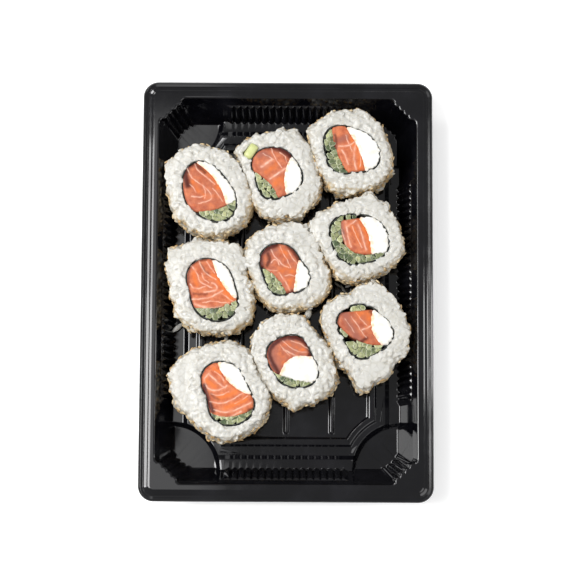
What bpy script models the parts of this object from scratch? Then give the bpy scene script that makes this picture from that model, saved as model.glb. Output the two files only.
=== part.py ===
"""A takeaway sushi tray: nine inside-out salmon rolls standing in a black thermoformed tray.

Metres, +Z up. The origin is on the table under the middle of the tray. The tray's length runs
along Y, and its empty end, the front, is towards -Y. Sizes below are in millimetres.
"""

import math
from collections import namedtuple

import bmesh
import bpy
from mathutils import Vector, noise

MM = 0.001
GAP = 0.3

# Tray
TRAY_WIDTH = 150.6
TRAY_LENGTH = 218.0
TRAY_HEIGHT = 24.0
SHEET = 0.7
OUTER_CORNER = 8.0
LIP_Z = 21.8
LIP_WIDTH = 1.5
LIP_SLOPE = 0.2
RIM_SLOPE_WIDTH = 2.5
RIM_CORNER_POINTS = 5
FLANGE_INNER = (66.9, 100.2)
FLANGE_CHAMFER = (13.0, 12.5)
FOOT = (59.2, 92.2)
FOOT_CHAMFER = (7.0, 6.0)
CHANNEL_Z = 3.6
WALL_LEAN = (FLANGE_INNER[0] - FOOT[0]) / (TRAY_HEIGHT - CHANNEL_Z)
END_LEAN = (FLANGE_INNER[1] - FOOT[1]) / (TRAY_HEIGHT - CHANNEL_Z)
TOUCHING = 0.01

# Panels of the walls that carry the flutes, one at the middle of each wall
PANEL_REACH = 1.8
PANEL_TOP_Z = 17.5
PANEL_HALF = (28.0, 54.6)
PANEL_END = 2.2

# Floor: each line is at one distance inside the wall's foot, and rounds the corner feet by an arc
FLOOR_Z = 5.0
BEAD_Z = 6.2
BEAD_IN, BEAD_CREST_IN, BEAD_CREST_OUT, BEAD_OUT = 17.2, 16.2, 13.7, 12.4
STEP_TOP, STEP_FOOT = 8.1, 5.7
FOOT_CENTRE = (59.5, 92.6)
FOOT_RADIUS = 23.2
STEP_RADIUS = 25.8
BEAD_OUT_RADIUS = 28.8
BEAD_IN_RADIUS = 33.4
RIB_PITCH = 23.6
RIB_HALF_WIDTH = 1.5
RIB_CREST_HALF_WIDTH = 0.8
RIB_END_SLOPE = 0.7
RIB_END_GAP = 1.6
CORNER_COLUMNS = 9
BESIDE_FOOT = 3

# Rolls
ROLL_BASE_Z = BEAD_Z + GAP
ROLL_HEIGHT = 23.0
CLEARANCE = 0.1
FIT_ROUNDS = 3
LEDGE_CLEARANCE = 1.0

# Rice: the rings up its side give a share of the height, a distance inside the outline and the
# height of the bumps. The bumps have the size of grains, with finer ones between.
RICE_COLUMNS = 44
RICE_RINGS = ((0.0, 2.4, 0.3), (0.16, 0.3, 1.0), (0.5, -0.2, 1.2), (0.84, 0.2, 1.2), (1.0, 1.5, 1.0))
RICE_EDGE_DROP = 0.9
FACE_BUMP = 1.1
HOLE_DROP = 0.3
HOLE_BUMP = 0.6
GRAIN = 3.0
FINE_BUMP_SHARE = 0.5
FINE_BUMP_SCALE = 2.3

# Seaweed and filling
NORI = 0.5
NORI_COLUMNS = 22
NORI_DROP = 0.3
NORI_BUMP = 0.7
FILLING_POINTS = 22
CLOSEST_POINTS = 0.9
CUT_HALF_WIDTH = 10.0
CUT_STEP = 3.6
FACE_LEAN = 0.08
SALMON_RISE = 0.5
CHEESE_RISE = 0.6
GARNISH_RISE = 0.4

# Cucumber sticks: a square pitch whose columns are shifted, and ends of uneven height
STICK = 2.6
STICKS_EACH_WAY = 22
STICK_SHIFT = 0.4
SMALLEST_STICK = 1.8
STICK_LIFT = 1.6
STICK_LIFT_SIZE = 2.0
STICK_LIFT_SLICE = 3.0
STICK_LOWEST = -1.0
STICK_HIGHEST = 0.6
STICK_DEPTH = 3.0
BUNDLE_DROP = 1.8

Wave = namedtuple("Wave", "amount turn")
Outline = namedtuple("Outline", "centre radius oval three four")
Cut = namedtuple("Cut", "towards distance bow")
Roll = namedtuple("Roll", "name taller rice core cucumber cheese garnish")

# Each outline is a circle with an oval, a three-sided and a four-sided wave (amount, direction).
# A cut parts the filling: towards which side, how far out, and how much the cut bows that way.
ROLLS = [
    Roll("a", 0.4,
         Outline((-41.0, 51.1), 22.8, Wave(2.1, -57), Wave(0.5, 4), Wave(0.5, -38)),
         Outline((-40.6, 49.2), 14.4, Wave(2.7, -55), Wave(0.6, -23), Wave(0.4, 31)),
         Cut(-76, 7.6, 1.7), Cut(30, 5.0, 1.6), None),
    Roll("b", -0.6,
         Outline((-3.8, 60.4), 22.0, Wave(2.1, -67), Wave(0.9, 28), Wave(1.0, -27)),
         Outline((-5.8, 59.8), 13.3, Wave(1.0, -61), Wave(0.7, 4), Wave(0.6, -25)),
         Cut(-136, 8.0, -2.0), Cut(-8, 6.5, -2.0), None),
    Roll("c", 0.5,
         Outline((32.7, 72.2), 21.6, Wave(1.4, -51), Wave(0.2, 9), Wave(1.1, -25)),
         Outline((32.4, 71.6), 13.7, Wave(1.5, -22), Wave(1.0, -4), Wave(0.6, -37)),
         Cut(-158, 5.4, 1.2), Cut(24, 3.0, 1.2), None),
    Roll("d", 0.0,
         Outline((-39.2, 1.1), 23.6, Wave(1.9, -62), Wave(0.5, 45), Wave(1.2, -38)),
         Outline((-38.2, -1.4), 14.5, Wave(2.6, -68), Wave(0.1, -11), Wave(0.4, -43)),
         Cut(-81, 7.9, 1.2), Cut(34, 7.3, -1.2), None),
    Roll("e", -0.5,
         Outline((0.2, 11.8), 22.1, Wave(1.6, -61), Wave(0.4, 51), Wave(1.2, -26)),
         Outline((-1.8, 9.1), 12.8, Wave(1.7, -56), Wave(0.8, -8), Wave(0.6, -26)),
         Cut(-136, 7.0, -2.0), Cut(-8, 7.0, -0.4), None),
    Roll("f", 0.6,
         Outline((36.8, 26.8), 22.2, Wave(0.9, -16), Wave(0.5, 36), Wave(1.2, -18)),
         Outline((36.7, 25.4), 14.4, Wave(1.2, -14), Wave(0.6, 8), Wave(0.6, -31)),
         Cut(-130, 1.5, 5.5), Cut(19, 3.4, 2.0), Cut(98, 10.2, 0.0)),
    Roll("g", 0.2,
         Outline((-33.4, -52.6), 24.3, Wave(1.9, -46), Wave(0.9, 57), Wave(1.2, -16)),
         Outline((-30.0, -54.6), 14.4, Wave(3.0, -67), Wave(0.5, 0), Wave(0.5, -33)),
         Cut(-88, 9.0, 2.5), Cut(50, 7.0, -2.2), None),
    Roll("h", -0.3,
         Outline((3.7, -36.7), 22.0, Wave(2.7, -51), Wave(0.5, -20), Wave(0.7, -14)),
         Outline((2.9, -38.0), 13.1, Wave(1.8, -54), Wave(0.5, -46), Wave(0.6, -27)),
         Cut(-105, 7.6, 0.5), Cut(-58, 3.6, -5.5), None),
    Roll("i", 0.3,
         Outline((41.2, -22.2), 22.8, Wave(2.0, -76), Wave(1.0, 29), Wave(0.8, -11)),
         Outline((39.7, -22.0), 13.7, Wave(1.1, -44), Wave(0.9, 12), Wave(0.6, -13)),
         Cut(-112, 3.6, 2.2), Cut(14, 7.6, -3.6), Cut(96, 10.0, 0.0)),
]

# The green piece pressed into the rice of one roll, beside its core
PIECE_ROLL = "b"
PIECE_PLACE = (-18.9, 71.0)
PIECE_SIZE = (3.0, 6.4, 6.0)
PIECE_TURN = -34.0
PIECE_RISE = 0.3
POCKET_RISE = 10.0


def clear_scene():
    for thing in list(bpy.data.objects):
        bpy.data.objects.remove(thing, do_unlink=True)


def new_collection(name):
    group = bpy.data.collections.new(name)
    bpy.context.scene.collection.children.link(group)
    return group


def material(name, colour, roughness):
    """A Principled material of one colour."""
    made = bpy.data.materials.new(name)
    made.use_nodes = True
    shader = made.node_tree.nodes["Principled BSDF"]
    shader.inputs["Base Color"].default_value = (*colour, 1.0)
    shader.inputs["Roughness"].default_value = roughness
    made.diffuse_color = (*colour, 1.0)
    return made


def put(name, bm, finish, group):
    """The object that a bmesh in millimetres becomes."""
    bmesh.ops.recalc_face_normals(bm, faces=bm.faces)
    bmesh.ops.scale(bm, vec=(MM, MM, MM), verts=bm.verts)
    mesh = bpy.data.meshes.new(name)
    bm.to_mesh(mesh)
    bm.free()
    mesh.materials.append(finish)
    made = bpy.data.objects.new(name, mesh)
    group.objects.link(made)
    return made


def bridge(bm, first, second):
    """Faces between two closed loops with the same number of vertices."""
    count = len(first)
    for i in range(count):
        j = (i + 1) % count
        bm.faces.new((first[i], first[j], second[j], second[i]))


def loop(bm, points):
    return [bm.verts.new(point) for point in points]


# Tray


def circle_line(radius, inset, along):
    """Where a corner arc meets the straight line at this distance inside the foot, as an angle."""
    other = 1 - along
    across = FOOT_CENTRE[other] - (FOOT[other] - inset)
    swing = math.asin(across / radius)
    return math.pi + swing if along == 0 else 1.5 * math.pi - swing


def arc_point(radius, angle):
    return (
        FOOT_CENTRE[0] + radius * math.cos(angle),
        FOOT_CENTRE[1] + radius * math.sin(angle),
    )


def arc_columns(radius, inset, count):
    """Points on a corner arc, from the end wall's side round to the side wall's."""
    start = circle_line(radius, inset, 0)
    end = circle_line(radius, inset, 1)
    return [
        arc_point(radius, start + (end - start) * i / (count - 1)) for i in range(count)
    ]


def chamfer_columns(half, chamfer):
    """Points along a chamfered corner, between the two ends of the foot's arc."""
    first = (FOOT_CENTRE[0] - FOOT_RADIUS, half[1])
    last = (half[0], FOOT_CENTRE[1] - FOOT_RADIUS)
    bend_a = (half[0] - chamfer[0], half[1])
    bend_b = (half[0], half[1] - chamfer[1])
    middle = ((bend_a[0] + bend_b[0]) / 2, (bend_a[1] + bend_b[1]) / 2)
    before = ((first[0] + bend_a[0]) / 2, half[1])
    after = (half[0], (last[1] + bend_b[1]) / 2)
    edge_a = (FOOT_CENTRE[0] - STEP_RADIUS, half[1])
    edge_b = (half[0], FOOT_CENTRE[1] - STEP_RADIUS)
    return [edge_a, first, before, bend_a, middle, bend_b, after, last, edge_b]


def round_columns(half, radius):
    """Points along a rounded corner of the rim."""
    centre = (half[0] - radius, half[1] - radius)
    last = RIM_CORNER_POINTS - 1
    turn = [math.radians(90 * (1 - i / last)) for i in range(RIM_CORNER_POINTS)]
    arc = [
        (centre[0] + radius * math.cos(a), centre[1] + radius * math.sin(a)) for a in turn
    ]
    edge_a = [(FOOT_CENTRE[0] - r, half[1]) for r in (STEP_RADIUS, FOOT_RADIUS)]
    edge_b = [(half[0], FOOT_CENTRE[1] - r) for r in (FOOT_RADIUS, STEP_RADIUS)]
    return edge_a + arc + edge_b


def quarter_row(corner, half, heights, panel_reach=0.0):
    """One row of the quarter in +X +Y: the wall panel's end, the corner, the next panel's end.

    heights holds the height beside the feet and the height within them.
    """
    beside, within = heights
    row = []
    for x, reach in ((PANEL_HALF[0], panel_reach), (PANEL_HALF[0] + PANEL_END, 0.0)):
        row.append((x, half[1] - reach, beside))
    for i, (x, y) in enumerate(corner):
        outside_foot = i in (0, CORNER_COLUMNS - 1)
        row.append((x, y, beside if outside_foot else within))
    for y, reach in ((PANEL_HALF[1] + PANEL_END, 0.0), (PANEL_HALF[1], panel_reach)):
        row.append((half[0] - reach, y, beside))
    return row


def whole_row(quarter):
    """The quarter's points repeated round all four quarters, in order."""
    back = quarter[::-1]
    right_front = [(x, -y, z) for x, y, z in back]
    left_front = [(-x, -y, z) for x, y, z in quarter]
    left_back = [(-x, y, z) for x, y, z in back]
    return quarter + right_front + left_front + left_back


def low_columns(inset):
    """The foot of the floor's step: round the foot by its arc, beside it at the channel."""
    inner = arc_columns(FOOT_RADIUS, inset, CORNER_COLUMNS - 2)
    edge_a = arc_point(STEP_RADIUS, circle_line(STEP_RADIUS, inset, 0))
    edge_b = arc_point(STEP_RADIUS, circle_line(STEP_RADIUS, inset, 1))
    return [edge_a] + inner + [edge_b]


def floor_half(inset):
    return (FOOT[0] - inset, FOOT[1] - inset)


def wall_half(z):
    """Half sizes of the bare wall at a height."""
    height = z - CHANNEL_Z
    return (FOOT[0] + WALL_LEAN * height, FOOT[1] + END_LEAN * height)


def wall_chamfer(z):
    share = (z - CHANNEL_Z) / (TRAY_HEIGHT - CHANNEL_Z)
    return tuple(a + (b - a) * share for a, b in zip(FOOT_CHAMFER, FLANGE_CHAMFER))


def tray_rows():
    """The rows of the tray's upper face, from the floor panel out to the lip."""
    rows = []
    beads = (
        (BEAD_IN, BEAD_IN_RADIUS, FLOOR_Z),
        (BEAD_CREST_IN, BEAD_IN_RADIUS - (BEAD_IN - BEAD_CREST_IN), BEAD_Z),
        (BEAD_CREST_OUT, BEAD_OUT_RADIUS + (BEAD_CREST_OUT - BEAD_OUT), BEAD_Z),
        (BEAD_OUT, BEAD_OUT_RADIUS, FLOOR_Z),
        (STEP_TOP, STEP_RADIUS, FLOOR_Z),
    )
    for inset, radius, z in beads:
        corner = arc_columns(radius, inset, CORNER_COLUMNS)
        rows.append(quarter_row(corner, floor_half(inset), (z, z)))
    rows.append(
        quarter_row(low_columns(STEP_FOOT), floor_half(STEP_FOOT), (CHANNEL_Z, SHEET))
    )
    foot_row = []
    beside = quarter_row(
        chamfer_columns(FOOT, FOOT_CHAMFER), FOOT, (CHANNEL_Z, CHANNEL_Z), PANEL_REACH
    )
    sunk = wall_half(SHEET)
    within = quarter_row(
        chamfer_columns(sunk, wall_chamfer(SHEET)), sunk, (SHEET, SHEET)
    )
    for i, (high, low) in enumerate(zip(beside, within)):
        foot_row.append(low if BESIDE_FOOT <= i <= CORNER_COLUMNS else high)
    rows.append(foot_row)
    ledge = wall_half(PANEL_TOP_Z)
    corner = chamfer_columns(ledge, wall_chamfer(PANEL_TOP_Z))
    level = (PANEL_TOP_Z, PANEL_TOP_Z)
    rows.append(quarter_row(corner, ledge, level, PANEL_REACH))
    rows.append(quarter_row(corner, ledge, level))
    corner = chamfer_columns(FLANGE_INNER, FLANGE_CHAMFER)
    rows.append(quarter_row(corner, FLANGE_INNER, (TRAY_HEIGHT, TRAY_HEIGHT)))
    outer = (TRAY_WIDTH / 2, TRAY_LENGTH / 2)
    rim = (
        (LIP_WIDTH + RIM_SLOPE_WIDTH, TRAY_HEIGHT),
        (LIP_WIDTH, LIP_Z + LIP_SLOPE),
        (0.0, LIP_Z),
    )
    for inset, z in rim:
        half = (outer[0] - inset, outer[1] - inset)
        corner = round_columns(half, OUTER_CORNER - inset)
        rows.append(quarter_row(corner, half, (z, z)))
    return rows


def raised_strip(bm, x, half_length):
    """A rib along Y: its foot edges, for the floor to be filled round, after its faces are made."""
    outlines = []
    for half, end, z in (
        (RIB_HALF_WIDTH, half_length, FLOOR_Z),
        (RIB_CREST_HALF_WIDTH, half_length - RIB_END_SLOPE, BEAD_Z),
    ):
        corners = [(x - half, -end), (x + half, -end), (x + half, end), (x - half, end)]
        outlines.append(loop(bm, [(a, b, z) for a, b in corners]))
    bridge(bm, *outlines)
    bm.faces.new(outlines[1])
    foot = outlines[0]
    return [bm.edges.get((foot[i], foot[(i + 1) % 4])) for i in range(4)]


def make_tray(finish, group):
    bm = bmesh.new()
    loops = [loop(bm, whole_row(row)) for row in tray_rows()]
    for inner, outer in zip(loops, loops[1:]):
        bridge(bm, inner, outer)
    panel = loops[0]
    edges = [bm.edges.get((panel[i - 1], panel[i])) for i in range(len(panel))]
    rib_half_length = FOOT[1] - BEAD_IN - RIB_END_GAP
    for x in (-RIB_PITCH, 0.0, RIB_PITCH):
        edges += raised_strip(bm, x, rib_half_length)
    bmesh.ops.triangle_fill(bm, use_beauty=True, edges=edges, normal=(0, 0, 1))
    bmesh.ops.remove_doubles(bm, verts=bm.verts, dist=TOUCHING)
    bmesh.ops.triangulate(bm, faces=bm.faces)
    bmesh.ops.recalc_face_normals(bm, faces=bm.faces)
    if sum(face.normal.z * face.calc_area() for face in bm.faces) < 0:
        bmesh.ops.reverse_faces(bm, faces=bm.faces)
    bmesh.ops.scale(bm, vec=(MM, MM, MM), verts=bm.verts)
    mesh = bpy.data.meshes.new("tray")
    bm.to_mesh(mesh)
    bm.free()
    mesh.materials.append(finish)
    made = bpy.data.objects.new("tray", mesh)
    group.objects.link(made)
    shell = made.modifiers.new("sheet", "SOLIDIFY")
    shell.thickness = SHEET * MM
    shell.offset = -1.0
    shell.use_even_offset = True
    return made


# Rolls


def reach(outline, angle):
    """Distance from the outline's centre to its edge at an angle."""
    total = outline.radius
    for order, wave in ((2, outline.oval), (3, outline.three), (4, outline.four)):
        total += wave.amount * math.cos(order * (angle - math.radians(wave.turn)))
    return total


def edge_point(outline, angle, inset=0.0):
    distance = reach(outline, angle) - inset
    x, y = outline.centre
    return (x + distance * math.cos(angle), y + distance * math.sin(angle))


def turns(count):
    return [2 * math.pi * i / count for i in range(count)]


def pressed_planes(roll):
    """Where this roll is pressed flat by its neighbours: points and directions of the planes."""
    planes = []
    here = Vector(roll.rice.centre)
    for other in ROLLS:
        if other is roll:
            continue
        away = Vector(other.rice.centre) - here
        angle = math.atan2(away.y, away.x)
        mine = reach(roll.rice, angle)
        theirs = reach(other.rice, angle + math.pi)
        if away.length > mine + theirs + 2 * GRAIN:
            continue
        middle = here + away * mine / (mine + theirs)
        planes.append((middle, away.normalized()))
    return planes


def fit_in_tray(x, y, z, planes):
    """Moves a point of the rice back from its neighbours and from the tray's wall."""
    point = Vector((x, y))
    for middle, towards in planes * FIT_ROUNDS:
        over = (point - middle).dot(towards) + GAP / 2
        if over > 0:
            point -= towards * over
    half = wall_half(z)
    step_in = GAP + CLEARANCE
    if z < PANEL_TOP_Z + LEDGE_CLEARANCE:
        step_in += PANEL_REACH
    limit_x = half[0] - step_in
    limit_y = half[1] - step_in
    return (max(-limit_x, min(limit_x, point.x)), max(-limit_y, min(limit_y, point.y)), z)


def grain_bump(x, y, z, amount):
    """Unevenness of the size of a cooked grain."""
    at = Vector((x, y, z)) / GRAIN
    return amount * (noise.noise(at) + FINE_BUMP_SHARE * noise.noise(at * FINE_BUMP_SCALE))


def rice_side(roll, top, planes):
    """Rings of the rice's outer side, from the base up to the cut face."""
    height = top - ROLL_BASE_Z
    made = []
    for share, inset, bump in RICE_RINGS:
        z = min(ROLL_BASE_Z + share * height, top - RICE_EDGE_DROP)
        ring = []
        for angle in turns(RICE_COLUMNS):
            x, y = edge_point(roll.rice, angle, inset)
            out = grain_bump(x, y, z, bump)
            x += out * math.cos(angle)
            y += out * math.sin(angle)
            ring.append(fit_in_tray(x, y, z, planes))
        made.append(ring)
    return made


def make_rice(roll, finish, group):
    """The rice of one roll: a thick ring, pressed by its neighbours, with a hole for the core."""
    top = ROLL_BASE_Z + ROLL_HEIGHT + roll.taller
    planes = pressed_planes(roll)
    rings = rice_side(roll, top, planes)
    hole = [edge_point(roll.core, angle, -GAP) for angle in turns(RICE_COLUMNS)]
    face = []
    for (x, y, _), (u, v) in zip(rings[-1], hole):
        a, b = (x + u) / 2, (y + v) / 2
        face.append((a, b, top + grain_bump(a, b, top, FACE_BUMP)))
    rings.append(face)
    rings.append([(x, y, top - HOLE_DROP + grain_bump(x, y, top, HOLE_BUMP)) for x, y in hole])
    rings.append([(x, y, ROLL_BASE_Z) for x, y in hole])
    bm = bmesh.new()
    loops = [loop(bm, ring) for ring in rings]
    for first, second in zip(loops, loops[1:] + loops[:1]):
        bridge(bm, first, second)
    return put(f"rice_{roll.name}", bm, finish, group)


def make_nori(roll, finish, group):
    """The seaweed sheet round the core, a thin ring that runs from the base to the cut."""
    top = ROLL_BASE_Z + ROLL_HEIGHT + roll.taller - NORI_DROP
    inner, outer = [], []
    for angle in turns(NORI_COLUMNS):
        for side, inset in ((outer, CLEARANCE), (inner, NORI + CLEARANCE)):
            side.append(edge_point(roll.core, angle, inset))
    rings = []
    for side, high in ((outer, False), (outer, True), (inner, True), (inner, False)):
        rings.append(
            [
                (x, y, top + grain_bump(x, y, 0, NORI_BUMP) if high else ROLL_BASE_Z)
                for x, y in side
            ]
        )
    bm = bmesh.new()
    loops = [loop(bm, ring) for ring in rings]
    for first, second in zip(loops, loops[1:] + loops[:1]):
        bridge(bm, first, second)
    return put(f"nori_{roll.name}", bm, finish, group)


def cut_directions(cut):
    angle = math.radians(cut.towards)
    towards = Vector((math.cos(angle), math.sin(angle)))
    return towards, Vector((-towards.y, towards.x))


def cut_line(cut, side):
    """How far out the cut's bowed line lies at a place along it."""
    return cut.distance + cut.bow * (1.0 - (side / CUT_HALF_WIDTH) ** 2)


def spaced(points):
    """The outline without the points that nearly touch the one before."""
    result = [points[0]]
    for point in points[1:]:
        if (Vector(point) - Vector(result[-1])).length > CLOSEST_POINTS:
            result.append(point)
    if (Vector(result[-1]) - Vector(result[0])).length < CLOSEST_POINTS:
        result.pop()
    return result


def part_of(outline, cut, centre, far_side):
    """The outline's part on one side of the cut, half the gap back from it."""
    towards, along = cut_directions(cut)
    middle = Vector(centre)
    back = GAP / 2 if far_side else -GAP / 2

    def past(point):
        offset = Vector(point) - middle
        over = offset.dot(towards) - cut_line(cut, offset.dot(along)) - back
        return over if far_side else -over

    kept = []
    leaving = 0
    for i, point in enumerate(outline):
        following = outline[(i + 1) % len(outline)]
        here, there = past(point), past(following)
        if here >= 0:
            kept.append(point)
        if (here >= 0) != (there >= 0):
            share = here / (here - there)
            kept.append(tuple(Vector(point).lerp(Vector(following), share)))
            if here >= 0:
                leaving = len(kept) - 1
    entering = (leaving + 1) % len(kept)
    first, last = [(Vector(kept[i]) - middle).dot(along) for i in (leaving, entering)]
    lowest = math.ceil(min(first, last) / CUT_STEP)
    highest = math.floor(max(first, last) / CUT_STEP)
    sides = [k * CUT_STEP for k in range(lowest, highest + 1)]
    if first > last:
        sides.reverse()
    edge = [
        tuple(middle + along * side + towards * (cut_line(cut, side) + back)) for side in sides
    ]
    return spaced(kept[: leaving + 1] + edge + kept[leaving + 1 :])


def centroid(points):
    return (
        sum(point[0] for point in points) / len(points),
        sum(point[1] for point in points) / len(points),
    )


def signed_area(points):
    total = 0.0
    for i, (x, y) in enumerate(points):
        u, v = points[(i + 1) % len(points)]
        total += x * v - u * y
    return total / 2


def standing(bm, outline, low, high):
    """A solid column of this outline, whose cut face leans a little."""
    middle_x, middle_y = centroid(outline)
    place = Vector((middle_x, middle_y, 0.0))
    lean_x = FACE_LEAN * noise.noise(place)
    lean_y = FACE_LEAN * noise.noise(place + Vector((7.0, 0.0, 0.0)))
    base = loop(bm, [(x, y, low) for x, y in outline])
    face = loop(
        bm,
        [(x, y, high + lean_x * (x - middle_x) + lean_y * (y - middle_y)) for x, y in outline],
    )
    bridge(bm, base, face)
    bm.faces.new(base)
    bm.faces.new(face)


def make_filling(name, outline, top, finish, group):
    bm = bmesh.new()
    standing(bm, outline, ROLL_BASE_Z, top)
    return put(name, bm, finish, group)


def clipped(outline, middle, half, turn):
    """The part of an outline inside a turned square."""
    points = [Vector(point) for point in outline]
    for side in range(4):
        angle = turn + side * math.pi / 2
        towards = Vector((math.cos(angle), math.sin(angle)))
        limit = middle.dot(towards) + half
        kept = []
        for i, point in enumerate(points):
            following = points[(i + 1) % len(points)]
            here, there = limit - point.dot(towards), limit - following.dot(towards)
            if here >= 0:
                kept.append(point)
            if (here >= 0) != (there >= 0):
                kept.append(point.lerp(following, here / (here - there)))
        points = kept
        if len(points) < 3:
            return []
    return [tuple(point) for point in points]


def plain_column(name, outline, low, high):
    bm = bmesh.new()
    bottom = loop(bm, [(x, y, low) for x, y in outline])
    upper = loop(bm, [(x, y, high) for x, y in outline])
    bridge(bm, bottom, upper)
    bm.faces.new(bottom)
    bm.faces.new(upper)
    bmesh.ops.recalc_face_normals(bm, faces=bm.faces)
    bmesh.ops.scale(bm, vec=(MM, MM, MM), verts=bm.verts)
    mesh = bpy.data.meshes.new(name)
    bm.to_mesh(mesh)
    bm.free()
    return bpy.data.objects.new(name, mesh)


def make_cucumber(name, outline, top, turn, finish, group):
    """A bundle of cut sticks: square ends of uneven height that stand on one fused core."""
    sticks = bpy.data.collections.new(f"{name}_sticks")
    bpy.context.scene.collection.children.link(sticks)
    middle = Vector(centroid(outline))
    across = Vector((math.cos(turn), math.sin(turn)))
    along = Vector((-across.y, across.x))
    for column in range(-STICKS_EACH_WAY, STICKS_EACH_WAY):
        for row in range(-STICKS_EACH_WAY, STICKS_EACH_WAY):
            shifted = row + STICK_SHIFT * (column % 2)
            cell = middle + across * STICK * column + along * STICK * shifted
            end = clipped(outline, cell, STICK / 2 - GAP / 2, turn)
            if len(end) < 3 or abs(signed_area(end)) < SMALLEST_STICK:
                continue
            place = Vector((cell.x, cell.y, STICK_LIFT_SLICE)) / STICK_LIFT_SIZE
            lift = max(STICK_LOWEST, min(STICK_HIGHEST, STICK_LIFT * noise.noise(place)))
            stick = plain_column(f"{name}_stick", end, top - STICK_DEPTH, top + lift)
            sticks.objects.link(stick)
    made = plain_column(name, outline, ROLL_BASE_Z, top - BUNDLE_DROP)
    made.data.materials.append(finish)
    group.objects.link(made)
    union = made.modifiers.new("sticks", "BOOLEAN")
    union.operation = "UNION"
    union.operand_type = "COLLECTION"
    union.collection = sticks
    union.solver = "EXACT"
    graph = bpy.context.evaluated_depsgraph_get()
    joined = bpy.data.meshes.new_from_object(made.evaluated_get(graph))
    made.modifiers.remove(union)
    made.data = joined
    made.data.name = name
    made.data.materials.clear()
    made.data.materials.append(finish)
    for stick in list(sticks.objects):
        bpy.data.objects.remove(stick, do_unlink=True)
    bpy.data.collections.remove(sticks)
    return made


def make_core(roll, finishes, group):
    """The filling inside the seaweed: salmon, cream cheese and cucumber, parted by bowed cuts."""
    top = ROLL_BASE_Z + ROLL_HEIGHT + roll.taller
    inset = NORI + CLEARANCE + GAP
    centre = roll.core.centre
    whole = [edge_point(roll.core, angle, inset) for angle in turns(FILLING_POINTS)]
    if roll.garnish:
        garnish = part_of(whole, roll.garnish, centre, True)
        make_filling(f"cucumber_top_{roll.name}", garnish, top + GARNISH_RISE, finishes["cucumber"], group)
        whole = part_of(whole, roll.garnish, centre, False)
    bundle = part_of(whole, roll.cucumber, centre, True)
    rest = part_of(whole, roll.cucumber, centre, False)
    cheese = part_of(rest, roll.cheese, centre, True)
    salmon = part_of(rest, roll.cheese, centre, False)
    turn = math.radians(roll.cucumber.towards)
    make_cucumber(f"cucumber_{roll.name}", bundle, top, turn, finishes["cucumber"], group)
    make_filling(f"cheese_{roll.name}", cheese, top + CHEESE_RISE, finishes["cheese"], group)
    make_filling(f"salmon_{roll.name}", salmon, top + SALMON_RISE, finishes["salmon"], group)


def piece_outline(grow):
    """The green piece's outline, larger by a margin for the pocket that it stands in."""
    angle = math.radians(PIECE_TURN)
    half_x = PIECE_SIZE[0] / 2 + grow
    half_y = PIECE_SIZE[1] / 2 + grow
    corners = [(-half_x, -half_y), (half_x, -half_y), (half_x, half_y), (-half_x, half_y)]
    return [
        (
            PIECE_PLACE[0] + x * math.cos(angle) - y * math.sin(angle),
            PIECE_PLACE[1] + x * math.sin(angle) + y * math.cos(angle),
        )
        for x, y in corners
    ]


def make_green_piece(rice, finishes, group, cutters):
    """A short piece of green filling that was pressed into the cut face of a roll's rice."""
    top = ROLL_BASE_Z + ROLL_HEIGHT
    low = top - PIECE_SIZE[2]
    pocket = plain_column("green_piece_pocket", piece_outline(GAP), low - GAP, top + POCKET_RISE)
    pocket.hide_render = True
    pocket.display_type = "WIRE"
    cutters.objects.link(pocket)
    cut = rice.modifiers.new("pocket", "BOOLEAN")
    cut.operation = "DIFFERENCE"
    cut.object = pocket
    bm = bmesh.new()
    standing(bm, piece_outline(0.0), low, top + PIECE_RISE)
    put(f"green_piece_{PIECE_ROLL}", bm, finishes["cucumber"], group)


def main():
    clear_scene()
    group = new_collection("takeaway_sushi_tray")
    cutters = new_collection("cutters")
    cutters.hide_render = True
    finishes = {
        "tray": material("black_plastic", (0.012, 0.012, 0.014), 0.25),
        "rice": material("rice", (0.80, 0.78, 0.72), 0.55),
        "nori": material("nori", (0.010, 0.014, 0.010), 0.60),
        "salmon": material("salmon", (0.72, 0.20, 0.07), 0.40),
        "cheese": material("cream_cheese", (0.92, 0.90, 0.85), 0.45),
        "cucumber": material("cucumber", (0.30, 0.36, 0.14), 0.45),
    }
    make_tray(finishes["tray"], group)
    for roll in ROLLS:
        rice = make_rice(roll, finishes["rice"], group)
        make_nori(roll, finishes["nori"], group)
        make_core(roll, finishes, group)
        if roll.name == PIECE_ROLL:
            make_green_piece(rice, finishes, group, cutters)


main()
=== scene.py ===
"""Looks of a takeaway sushi tray: nine inside-out salmon rolls in a black thermoformed tray.

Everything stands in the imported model's frame. The camera, the table top and the lamps are
written in metres. From the tray on, sizes are in millimetres, and MM turns them into metres.
"""

import math

import bmesh
import bpy
import numpy as np
from mathutils import Euler, Matrix, Vector, noise
from mathutils.kdtree import KDTree


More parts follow.
